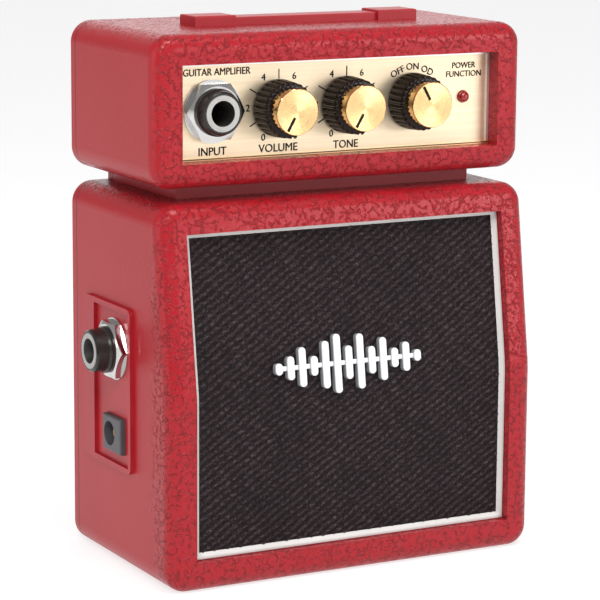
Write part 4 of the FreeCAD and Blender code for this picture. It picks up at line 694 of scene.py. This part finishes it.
def turned_surface(profile: np.ndarray, centre: tuple[float, float], around: int,
                   groove: Callable[[np.ndarray, np.ndarray], np.ndarray] | None = None) -> Patch:
    """A profile carried round an axis along Y.

    A point at angle a has x = centre x + r sin a and z = centre z + r cos a, with r the profile's radius less the
    groove's depth there; a runs clockwise from straight up, seen from the front.

    Args:
        profile: rows of radius and y.
        centre: the axis's x and z.
        around: how many steps round.
        groove: gives a depth to take off the radius, from the angle and the profile's row number.

    Returns:
        The patch.
    """
    angle = np.linspace(0, 2 * np.pi, around, endpoint=False)[None, :]
    row = np.arange(len(profile))[:, None]
    radius = np.repeat(profile[:, :1], around, 1)
    if groove is not None:
        radius = radius - groove(angle, row)
    x = centre[0] + radius * np.sin(angle)
    z = centre[1] + radius * np.cos(angle)
    y = np.repeat(profile[:, 1:2], around, 1)
    return Patch(np.stack([x, y, z], -1), closed_columns=True)


def millimetres(node: str) -> tuple[np.ndarray, np.ndarray]:
    """A frame node's lowest and highest corners, in millimetres."""
    low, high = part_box(node)
    return np.array(low) / MM, np.array(high) / MM


def middle(node: str) -> np.ndarray:
    """The middle of a frame node, in millimetres."""
    low, high = millimetres(node)
    return (low + high) / 2


# ---------------------------------------------------------------- grille
@dataclass
class SlantedFront:
    """The line that the cabinet's front follows upwards: straight, a gentle bend, then leaning back."""

    face: float = -30.0
    kink: float = 48.8
    lean: float = 8.35
    bend: float = 30.0

    def depth(self, z: np.ndarray) -> np.ndarray:
        """How far back the front is at height z.

        Below the bend it is 0. In the bend it is R - sqrt(R^2 - t^2), with t the height above the bend's start.
        Above it, it is the height above the kink times the lean's tangent.
        """
        slope = math.tan(math.radians(self.lean))
        reach = self.bend * math.tan(math.radians(self.lean / 2))
        start = self.kink - reach
        t = np.clip(z - start, 0, reach * (1 + math.cos(math.radians(self.lean))))
        arc = self.bend - np.sqrt(self.bend ** 2 - t ** 2)
        return np.where(z > self.kink + reach * math.cos(math.radians(self.lean)), (z - self.kink) * slope, arc)

    def y(self, z: np.ndarray, behind: float | np.ndarray) -> np.ndarray:
        """The y of a point that lies behind the front's face by a given depth."""
        return self.face + self.depth(z) + behind


@dataclass
class Grille:
    """The cloth that is stretched over the baffle, its pale frame, and the badge on it."""

    front: SlantedFront = field(default_factory=SlantedFront)
    cloth_depth: float = 3.0
    PILL_SHARE: ClassVar[np.ndarray] = np.array([0.0, 0.45, 0.72, 0.86, 0.94, 0.98, 1.0, 1.0, 1.0])
    PILL_RISE: ClassVar[np.ndarray] = np.array([1.0, 0.998, 0.99, 0.965, 0.92, 0.86, 0.78, 0.55, 0.0])
    relief: float = 0.24
    warp_pitch: float = 1.68
    weft_pitch: float = 1.055
    trim_shares: tuple[float, float, float, float] = (1.0, 0.82, 0.9, 0.66)
    step: float = 0.32

    def weave(self, x: np.ndarray, z: np.ndarray) -> np.ndarray:
        """The height of the threads from 0 to 1.

        Knots stand at every second crossing of the warp and weft, and those up and to the right of each other join
        into slanting cords. With p = x / (2 warp) - z / (2 weft) the phase across the cords and q = z / weft, a
        cord's profile is (1 + cos p) / 2 with a little of cos 2p, and it is multiplied by the knots along it,
        which are a sum of cos q and of cos (2p + q), the phase along the warp. Slow ripples in both phases make
        the threads uneven.
        """
        drift = 0.07 * np.sin(0.83 * z + 0.31 * x) + 0.06 * np.sin(2.9 * x - 1.7 * z + 2.0 * np.sin(0.6 * z))
        wobble = 0.09 * np.sin(2.3 * z - 1.9 * x + 1.5 * np.sin(0.9 * x)) + 0.05 * np.sin(5.1 * x + 0.7 * z)
        p = 2 * np.pi * (x / (2 * self.warp_pitch) - z / (2 * self.weft_pitch) + drift)
        q = 2 * np.pi * (z / self.weft_pitch + wobble)
        cord = 0.5 + 0.44 * np.cos(p) + 0.10 * np.cos(2 * p)
        knot = 0.5 + 0.28 * np.cos(q) + 0.22 * np.cos(2 * p + q)
        uneven = 0.9 + 0.1 * np.sin(1.7 * x + 4.1 * z + 3 * np.sin(0.5 * x))
        return np.clip(cord * (0.30 + 0.70 * knot) * uneven, 0, 1)

    def cloth(self) -> Piece:
        """The woven cloth, as one grid over the baffle."""
        low, high = millimetres("grille_cloth")
        x = np.linspace(low[0] + 0.3, high[0] - 0.3, int((high[0] - low[0]) / self.step))[None, :]
        z = np.linspace(low[2] + 0.3, high[2] - 0.3, int((high[2] - low[2]) / self.step))[:, None]
        x, z = np.broadcast_arrays(x, z)
        crown = self.weave(x, z)
        y = self.front.y(z, self.cloth_depth + 0.12) - self.relief * crown
        grid = Patch(np.stack([x, y, z], -1))
        return Piece("grille_weave", [grid], "grille_weave", "grille_cloth", replaced=("grille_cloth",),
                     attributes={"crown": crown}, merge=False)

    def trim(self) -> Piece:
        """The pale frame: a rounded section carried round the opening, with mitred corners.

        The section is squeezed inwards by a share of its own on each side, because the head of the frame is
        narrower than its sill and its right post.
        """
        low, high = millimetres("grille_trim")
        section = np.array([(0.0, 3.0), (0.0, 2.40), (0.04, 2.28), (0.14, 2.21), (0.30, 2.2), (0.78, 2.2),
                            (0.90, 2.23), (1.02, 2.33), (1.35, 2.62), (1.68, 2.90), (1.80, 2.96), (1.85, 3.0)])
        rings = []
        for inward, depth in section:
            left, right, sill, head = (inward * share for share in self.trim_shares)
            x0, x1, z0, z1 = low[0] + left, high[0] - right, low[2] + sill, high[2] - head
            side = np.linspace(0, 1, 60)
            x = np.concatenate([x0 + (x1 - x0) * side, np.full(60, x1), x1 + (x0 - x1) * side, np.full(60, x0)])
            z = np.concatenate([np.full(60, z0), z0 + (z1 - z0) * side, np.full(60, z1), z1 + (z0 - z1) * side])
            rings.append(np.stack([x, self.front.y(z, depth), z], -1))
        grid = Patch(np.array(rings), closed_rows=True, closed_columns=True)
        return Piece("grille_frame", [grid], "pale_trim", "pale_trim", replaced=("grille_trim",))

    def badge(self) -> Piece:
        """The badge: domed bars on a thin spine, like the outline of a sound.

        Each bar is a long pill with a flat top, a rounded edge and a straight flank, given by how far out each ring
        of its outline lies and how high it stands.
        """
        low, high = millimetres("front_badge")
        heights = np.array([3.0, 6.0, 10.0, 5.0, 12.0, 15.0, 8.5, 14.0, 7.0, 11.0, 5.0, 7.5, 3.0])
        radius, thick = 1.0, 1.8
        xs = np.linspace(low[0] + radius, high[0] - radius, len(heights))
        patches = [self._pill(x, height, radius, thick) for x, height in zip(xs, heights)]
        patches.append(self._pill(0.5 * (low[0] + high[0]), xs[-1] - xs[0], 0.62, thick * 0.6, True))
        rise = np.concatenate([np.broadcast_to(self.PILL_RISE[:, None], p.points.shape[:2]).ravel() for p in patches])
        return Piece("wave_badge", patches, "badge_white", "pale_trim", replaced=("front_badge",),
                     attributes={"rise": rise})

    def _pill(self, x: float, length: float, radius: float, thick: float, lying: bool = False) -> Patch:
        """One rounded bar of the badge, upright or lying."""
        low, high = millimetres("front_badge")
        height = 0.5 * (low[2] + high[2])
        angle = np.linspace(0, 2 * np.pi, 28, endpoint=False)[None, :]
        share, rise = self.PILL_SHARE[:, None], self.PILL_RISE[:, None]
        reach = max(length / 2 - radius, 0.05)
        shift = np.where(np.cos(angle) >= 0, reach, -reach)
        along, across = radius * np.cos(angle) * share + shift, radius * np.sin(angle) * share
        lean = math.radians(self.front.lean)
        px, pz = (along, across) if lying else (across, along)
        pz, rise = np.broadcast_arrays(pz, rise * thick)
        z = height + pz * math.cos(lean) + rise * math.sin(lean)
        y = self.front.y(np.array(height), self.cloth_depth) + pz * math.sin(lean) - rise * math.cos(lean)
        return Patch(np.stack([x + np.broadcast_to(px, z.shape), y, z], -1), closed_columns=True)

    def build(self, finishes: Finishes) -> None:
        cloth = self.cloth().make(finishes)
        low, high = millimetres("grille_cloth")
        rise = self.front.depth(np.array(high[2])) - self.front.depth(np.array(low[2]))
        self.trim().make(finishes)
        self.badge().make(finishes)


# ---------------------------------------------------------------- knobs
class Control(Enum):
    """The three turning controls, by the start of their nodes' names."""

    VOLUME = "volume"
    TONE = "tone"
    FUNCTION = "function"


@dataclass
class Knob:
    """One knob: ribbed skirt, spun cap from the frame, and the pointer's inlay."""

    control: Control
    ribs: int = 28
    rib_depth: float = 0.68
    wall: float = 1.4
    hollow: float = 3.0
    pointer_width: float = 0.8
    pointer: tuple[float, float] = (1.5, 5.4)

    def centre(self) -> tuple[float, float]:
        """The axis's x and z."""
        place = middle(self.control.value + "_knob_cap")
        return float(place[0]), float(place[2])

    def skirt(self) -> Piece:
        """The skirt: a profile turned about the axis, with rounded ribs cut into its flank.

        The cut at angle a is the rib's depth times (1 - |cos(n a / 2)|^0.95), which leaves rounded ribs between
        sharp valleys, and it runs on over the front shoulder, under the cap.
        """
        low, high = millimetres(self.control.value + "_knob")
        back, front = high[1], low[1]
        outer = (high[0] - low[0]) / 2
        inner = outer - 0.25
        profile = [(3.05, back - self.hollow), (outer - self.wall, back - self.hollow), (outer - self.wall, back),
                   (outer - 0.25, back), (outer - 0.02, back - 0.2), (outer, back - 0.5)]
        flank = np.linspace(0, 1, 14)
        profile += [(outer + (inner - outer) * s, back - 1.0 + (front + 0.85 - back + 1.0) * s) for s in flank]
        profile += [(inner - 0.10, front + 0.45), (inner - 0.35, front + 0.15), (inner - 0.8, front), (3.9, front)]
        rows = np.array(profile)
        start, stop = 6, 6 + len(flank)
        weight = np.zeros(len(rows))
        weight[start:stop] = 1.0
        weight[start - 1] = 0.35
        weight[stop:stop + 3] = 0.85, 0.5, 0.2

        def cut(angle: np.ndarray, row: np.ndarray) -> np.ndarray:
            """The valley's depth at each angle and row."""
            return self.rib_depth * weight[row] * (1 - np.abs(np.cos(self.ribs * angle / 2)) ** 0.95)

        grid = turned_surface(rows, self.centre(), self.ribs * 12, cut)
        name = self.control.value
        return Piece(name + "_skirt", [grid], "black_knob", "black_plastic", name + "_control", (name + "_knob",))

    def inlay(self) -> Piece:
        """The pointer: a bar that fills the cap's groove, with bevelled long edges and flat ends."""
        low, _ = millimetres(self.control.value + "_knob_cap")
        x0, z0 = self.centre()
        turn = math.radians({Control.FUNCTION: -30.0}.get(self.control, -150.0))
        half, (start, stop) = self.pointer_width / 2 - 0.02, self.pointer
        across = np.array([-1.0, -1.0, -0.6, 0.6, 1.0, 1.0])[:, None] * half
        depth = np.array([0.22, 0.06, 0.03, 0.03, 0.06, 0.22])[:, None]
        along = np.linspace(start + 0.03, stop - 0.03, 12)[None, :]
        across, depth, along = np.broadcast_arrays(across, depth, along)
        x = x0 + along * math.sin(turn) + across * math.cos(turn)
        z = z0 + along * math.cos(turn) - across * math.sin(turn)
        top = Patch(np.stack([x, low[1] + depth, z], -1), closed_rows=True)
        ends = [Patch(top.points[:, column][None, :].reshape(2, 3, 3)[:, ::1]) for column in (0, -1)]
        return Piece(self.control.value + "_pointer", [top] + ends, "ink", "black_plastic",
                     self.control.value + "_control")

    def build(self, finishes: Finishes) -> None:
        """Makes the knob and gives its cap its finish."""
        self.skirt().make(finishes)
        self.inlay().make(finishes)
        name = self.control.value + "_cap_gold"
        finishes.known[name] = SpunMetal((0.84, 0.54, 0.24), (0.94, 0.70, 0.38), self.centre())
        dress(self.control.value + "_knob_cap", name, finishes)


# ---------------------------------------------------------------- lettering
@dataclass
class Label:
    """A word or number on the panel: its middle, its size and its turn, clockwise in degrees."""

    words: str
    x: float
    z: float
    height: float
    width: float = 0.0
    turn: float = 0.0


@dataclass
class PanelPrint:
    """The ink on the panel: generic words, the dials' numbers and ticks."""

    proud: float = 0.03
    boldness: float = 0.068
    number_radius: float = 8.65
    number_height: float = 1.7
    word_radius: float = 8.75
    word_turn: float = 0.8
    row_drop: float = 10.9
    dial_shift: tuple[float, float] = (0.25, 0.35)
    tick: tuple[float, float] = (6.9, 9.35)
    tick_width: float = 0.32

    def labels(self) -> list[Label]:
        """Every word and number, placed from the controls' own axes."""
        volume, tone, function = (Knob(c).centre() for c in Control)
        jack = middle("input_tip_spring")[0]
        lamp = middle("power_led")[0]
        row = volume[1] - self.row_drop
        words = (("GUITAR AMPLIFIER", jack + 1.2, 20.6, 1.75, 18.4), ("INPUT", jack, 1.0, 2.0, 7.6),
                 ("VOLUME", volume[0] + 0.1, 1.0, 2.0, 10.9), ("TONE", tone[0] + 0.1, 0.9, 2.0, 7.1),
                 ("POWER", lamp + 0.15, 19.4, 1.5, 6.9), ("FUNCTION", lamp + 0.15, 17.2, 1.5, 10.4))
        found = [Label(text, x, row + up, height, width) for text, x, up, height, width in words]
        for centre in (self.dial(volume), self.dial(tone)):
            for step in (0, 2, 4, 6, 8, 10):
                angle = math.radians(-150 + 30 * step)
                found.append(Label(str(step), centre[0] + self.number_radius * math.sin(angle),
                                   centre[1] + self.number_radius * math.cos(angle), self.number_height))
        for text, angle in (("OFF", -30.0), ("ON", 0.0), ("OD", 30.0)):
            turn = math.radians(angle)
            found.append(Label(text, function[0] + 0.15 + self.word_radius * math.sin(turn),
                               function[1] + self.word_radius * math.cos(turn), self.number_height, 0,
                               angle * self.word_turn))
        return found

    def dial(self, centre: tuple[float, float]) -> tuple[float, float]:
        """The middle of the print round a control, which sits a little off the control's axis."""
        return centre[0] + self.dial_shift[0], centre[1] + self.dial_shift[1]

    def build(self, finishes: Finishes) -> None:
        """Makes all the print as one piece."""
        face = millimetres("control_panel")[0][1]
        shifts = (-self.boldness, 0.0, self.boldness)
        meshes = [self._text(label, face, shift) for label in self.labels() for shift in shifts]
        meshes.append(self._ticks(face))
        work = bmesh.new()
        for mesh in meshes:
            work.from_mesh(mesh)
            bpy.data.meshes.remove(mesh)
        whole = bpy.data.meshes.new("panel_print")
        work.to_mesh(whole)
        work.free()
        piece = bpy.data.objects.new("panel_print", whole)
        bpy.context.scene.collection.objects.link(piece)
        Piece("panel_print", [], "ink", "black_plastic").place(piece, finishes)

    def _text(self, label: Label, face: float, shift: float) -> bpy.types.Mesh:
        """One label as a thin solid on the panel, fitted to its size, and shifted a little to thicken its strokes."""
        curve = bpy.data.curves.new("label", "FONT")
        curve.body = label.words
        curve.extrude = 0.02
        curve.resolution_u = 3
        holder = bpy.data.objects.new("label", curve)
        bpy.context.scene.collection.objects.link(holder)
        bpy.context.view_layer.update()
        mesh = bpy.data.meshes.new_from_object(holder.evaluated_get(bpy.context.evaluated_depsgraph_get()))
        bpy.data.objects.remove(holder)
        flat = np.empty(len(mesh.vertices) * 3)
        mesh.vertices.foreach_get("co", flat)
        flat = flat.reshape(-1, 3)
        low, high = flat.min(0), flat.max(0)
        scale = label.height / (high[1] - low[1])
        wide = label.width / (high[0] - low[0]) if label.width else scale
        across = (flat[:, 0] - (low[0] + high[0]) / 2) * wide
        up = (flat[:, 1] - (low[1] + high[1]) / 2) * scale
        turn = math.radians(label.turn)
        x = label.x + shift + across * math.cos(turn) + up * math.sin(turn)
        z = label.z + shift * 0.6 - across * math.sin(turn) + up * math.cos(turn)
        y = face - (self.proud + shift * 0.1) * (flat[:, 2] - low[2]) / (high[2] - low[2])
        mesh.vertices.foreach_set("co", (np.stack([x, y, z], -1) * MM).astype(np.float32).ravel())
        mesh.update()
        return mesh

    def _ticks(self, face: float) -> bpy.types.Mesh:
        """The ticks between the numbers, as thin bars along the radius."""
        work = bmesh.new()
        for control in (Control.VOLUME, Control.TONE):
            x0, z0 = self.dial(Knob(control).centre())
            for step in range(1, 11, 2):
                angle = math.radians(-150 + 30 * step)
                out = np.array([math.sin(angle), math.cos(angle)])
                side = np.array([math.cos(angle), -math.sin(angle)])
                corners = []
                for y in (face, face - self.proud):
                    for along, across in ((0, -1), (0, 1), (1, 1), (1, -1)):
                        p = out * self.tick[along] + side * across * self.tick_width / 2
                        corners.append(work.verts.new(Vector((x0 + p[0], y, z0 + p[1])) * MM))
                for quad in ((0, 1, 2, 3), (7, 6, 5, 4), (0, 4, 5, 1), (1, 5, 6, 2), (2, 6, 7, 3), (3, 7, 4, 0)):
                    work.faces.new([corners[i] for i in quad])
        bmesh.ops.recalc_face_normals(work, faces=work.faces)
        mesh = bpy.data.meshes.new("ticks")
        work.to_mesh(mesh)
        work.free()
        return mesh


# ---------------------------------------------------------------- what the frame already has
def dress(node: str, finish: str, finishes: Finishes) -> None:
    """Gives a frame node its finish.

    Args:
        node: the node's name.
        finish: the finish's name.
        finishes: where the material comes from.
    """
    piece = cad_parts[node]
    material = finishes.get(finish)
    if piece.material_slots:
        for slot in piece.material_slots:
            slot.material = material
    else:
        piece.data.materials.append(material)
    LOG.info("%s: %s", node, finish)


class Wardrobe:
    """Which finish each frame node wears."""

    WORN: dict[str, tuple[str, ...]] = {
        "grained_red": ("cabinet_shell", "head_shell", "rear_shell"),
        "smooth_red": ("neck_spacer", "handle_strap", "handle_end_caps", "side_jack_plate", "battery_door"),
        "gold_sheet": ("control_panel",),
        "bright_edge": ("panel_trim",),
        "nickel": ("jack_nuts", "jack_washers"),
        "ferrule_silver": ("jack_ferrules",),
        "jack_black": ("input_jack_body", "phones_jack_body"),
        "socket_grey": ("dc_jack_body",),
        "brass": ("dc_jack_pin", "input_tip_spring", "phones_tip_spring", "voice_coil"),
        "zinc": ("belt_clip_base", "belt_clip_lever", "case_screws", "neck_screws", "board_screws", "speaker_screws",
                 "pot_nuts", "volume_shaft", "tone_shaft", "function_shaft", "volume_pot", "tone_pot",
                 "function_switch", "speaker_frame", "speaker_top_plate", "speaker_yoke"),
        "lamp_red": ("power_led",),
        "board_green": ("main_board",),
        "black_parts": ("amplifier_chip", "battery_snap", "speaker_terminals"),
        "can_blue": ("capacitors",),
        "resistor_tan": ("resistors",),
        "wire_grey": ("wiring",),
        "cone_paper": ("speaker_cone", "dust_cap", "cone_spider"),
        "soft_rubber": ("cone_surround",),
        "ferrite": ("speaker_magnet",),
        "baffle_black": ("speaker_baffle",),
        "battery_wrap": ("battery",),
    }

    def build(self, finishes: Finishes) -> None:
        """Dresses every node that keeps its own shape."""
        for finish, nodes in self.WORN.items():
            for node in nodes:
                dress(node, finish, finishes)


# ---------------------------------------------------------------- studio
@dataclass
class Studio:
    """The pale floor, the soft lights and the camera."""

    aim: Colour = (-0.00152, -0.0013, 0.06552)
    azimuth: float = -28.281
    elevation: float = 10.675
    distance: float = 0.69078
    roll: float = 0.406
    lens: float = 159.55
    bright: Colour = (0.4655, 0.8653, 0.20)
    flag: tuple[float, float] = (-0.264, -0.141)
    room: float = 0.36

    def camera(self) -> None:
        """A long lens from the left of the front and a little above."""
        az, el, roll = (math.radians(v) for v in (self.azimuth, self.elevation, self.roll))
        back = Vector((math.sin(az) * math.cos(el), -math.cos(az) * math.cos(el), math.sin(el)))
        right = Vector((0, 0, 1)).cross(back).normalized()
        up = back.cross(right)
        across = right * math.cos(roll) + up * math.sin(roll)
        upright = up * math.cos(roll) - right * math.sin(roll)
        data = bpy.data.cameras.new("camera")
        data.lens, data.sensor_width, data.clip_start = self.lens, 36.0, 0.01
        view = bpy.data.objects.new("camera", data)
        turn = Matrix((across, upright, back)).transposed().to_4x4()
        view.matrix_world = Matrix.Translation(Vector(self.aim) + back * self.distance) @ turn
        bpy.context.scene.collection.objects.link(view)
        bpy.context.scene.camera = view

    def floor(self) -> None:
        """A broad, flat, pale floor, six metres on a side."""
        bench = FinishBench("studio_floor")
        speck = bench.noise(bench.places(), 0.02, 2.0)
        bench.finish(Base_Color=bench.mix(speck, (0.35, 0.35, 0.35), (0.37, 0.37, 0.37)), Roughness=0.9,
                     Emission_Color=(1.0, 1.0, 1.0), Emission_Strength=0.72, Specular_IOR_Level=0.1)
        size = 3.0
        mesh = bpy.data.meshes.new("floor")
        mesh.from_pydata([(-size, -size, 0), (size, -size, 0), (size, size, 0), (-size, size, 0)], [], [(0, 1, 2, 3)])
        mesh.materials.append(bench.material)
        ground = bpy.data.objects.new("floor", mesh)
        bpy.context.scene.collection.objects.link(ground)

    @staticmethod
    def lamp(name: str, place: Colour, size: float, power: float, aim: Colour = (0, 0, 0.07)) -> None:
        """One square soft light.

        Args:
            name: its name.
            place: where it stands, in metres.
            size: its side, in metres.
            power: its power, in watts.
            aim: the point it faces.
        """
        data = bpy.data.lights.new(name, "AREA")
        data.size, data.energy = size, power
        light = bpy.data.objects.new(name, data)
        light.location = place
        light.rotation_euler = (Vector(aim) - Vector(place)).to_track_quat("-Z", "Y").to_euler()
        bpy.context.scene.collection.objects.link(light)

    def lights(self) -> None:
        """A high key over the viewer's left shoulder, soft boxes behind on the left and in front on the right."""
        self.lamp("key", (-0.55, -0.70, 0.85), 0.35, 6.0)
        self.lamp("left_box", (-1.00, 0.05, 0.30), 0.55, 2.0)
        self.lamp("right_box", (0.62, -0.85, 0.30), 0.40, 2.9)
        self.lamp("top", (0.05, -0.35, 1.00), 0.50, 5.4)

    def card(self) -> None:
        """A black card beyond the left edge, seen only in reflections, that draws a dark line down rounded edges."""
        bench = FinishBench("studio_card")
        speck = bench.noise(bench.places(), 0.02, 2.0)
        bench.finish(Base_Color=bench.mix(speck, (0.005, 0.005, 0.005), (0.01, 0.01, 0.01)), Roughness=0.9)
        away = Vector((self.flag[0], self.flag[1], 0)).normalized()
        side = Vector((-away.y, away.x, 0)) * 0.05
        foot, rise = Vector((self.flag[0], self.flag[1], 0.002)), Vector((0, 0, 0.22))
        mesh = bpy.data.meshes.new("card")
        mesh.from_pydata([foot - side, foot + side, foot + side + rise, foot - side + rise], [], [(0, 1, 2, 3)])
        mesh.materials.append(bench.material)
        card = bpy.data.objects.new("card", mesh)
        bpy.context.scene.collection.objects.link(card)
        card.visible_camera = card.visible_shadow = card.visible_diffuse = False

    def surroundings(self) -> None:
        """A pale room that is bright low down behind the amplifier, so that its tops and rounded edges shine."""
        world = bpy.data.worlds.new("studio")
        world.use_nodes = True
        bench = NodeBench(world.node_tree)
        x, y, z = bench.axes(bench.add("TexCoord").outputs["Generated"])
        towards = x * self.bright[0] + y * self.bright[1] + z * self.bright[2]
        glow = towards.ramp(0.80, 0.97)
        back = world.node_tree.nodes["Background"]
        back.inputs["Color"].default_value = (1.0, 1.0, 1.0, 1.0)
        world.node_tree.links.new((self.room + glow * 0.9).socket, back.inputs["Strength"])
        bpy.context.scene.world = world

    def build(self) -> None:
        """Sets up camera, floor and lights."""
        self.camera()
        self.floor()
        self.lights()
        self.card()
        self.surroundings()
        bpy.context.scene.view_settings.view_transform = "Standard"


def main() -> None:
    """Builds the amplifier's looks, one sub-assembly after another."""
    logging.basicConfig(level=logging.INFO, format="%(name)s: %(message)s")
    finishes = Finishes()
    Studio().build()
    Wardrobe().build(finishes)
    Grille().build(finishes)
    for control in Control:
        Knob(control).build(finishes)
    PanelPrint().build(finishes)


if __name__ == "__main__":
    main()
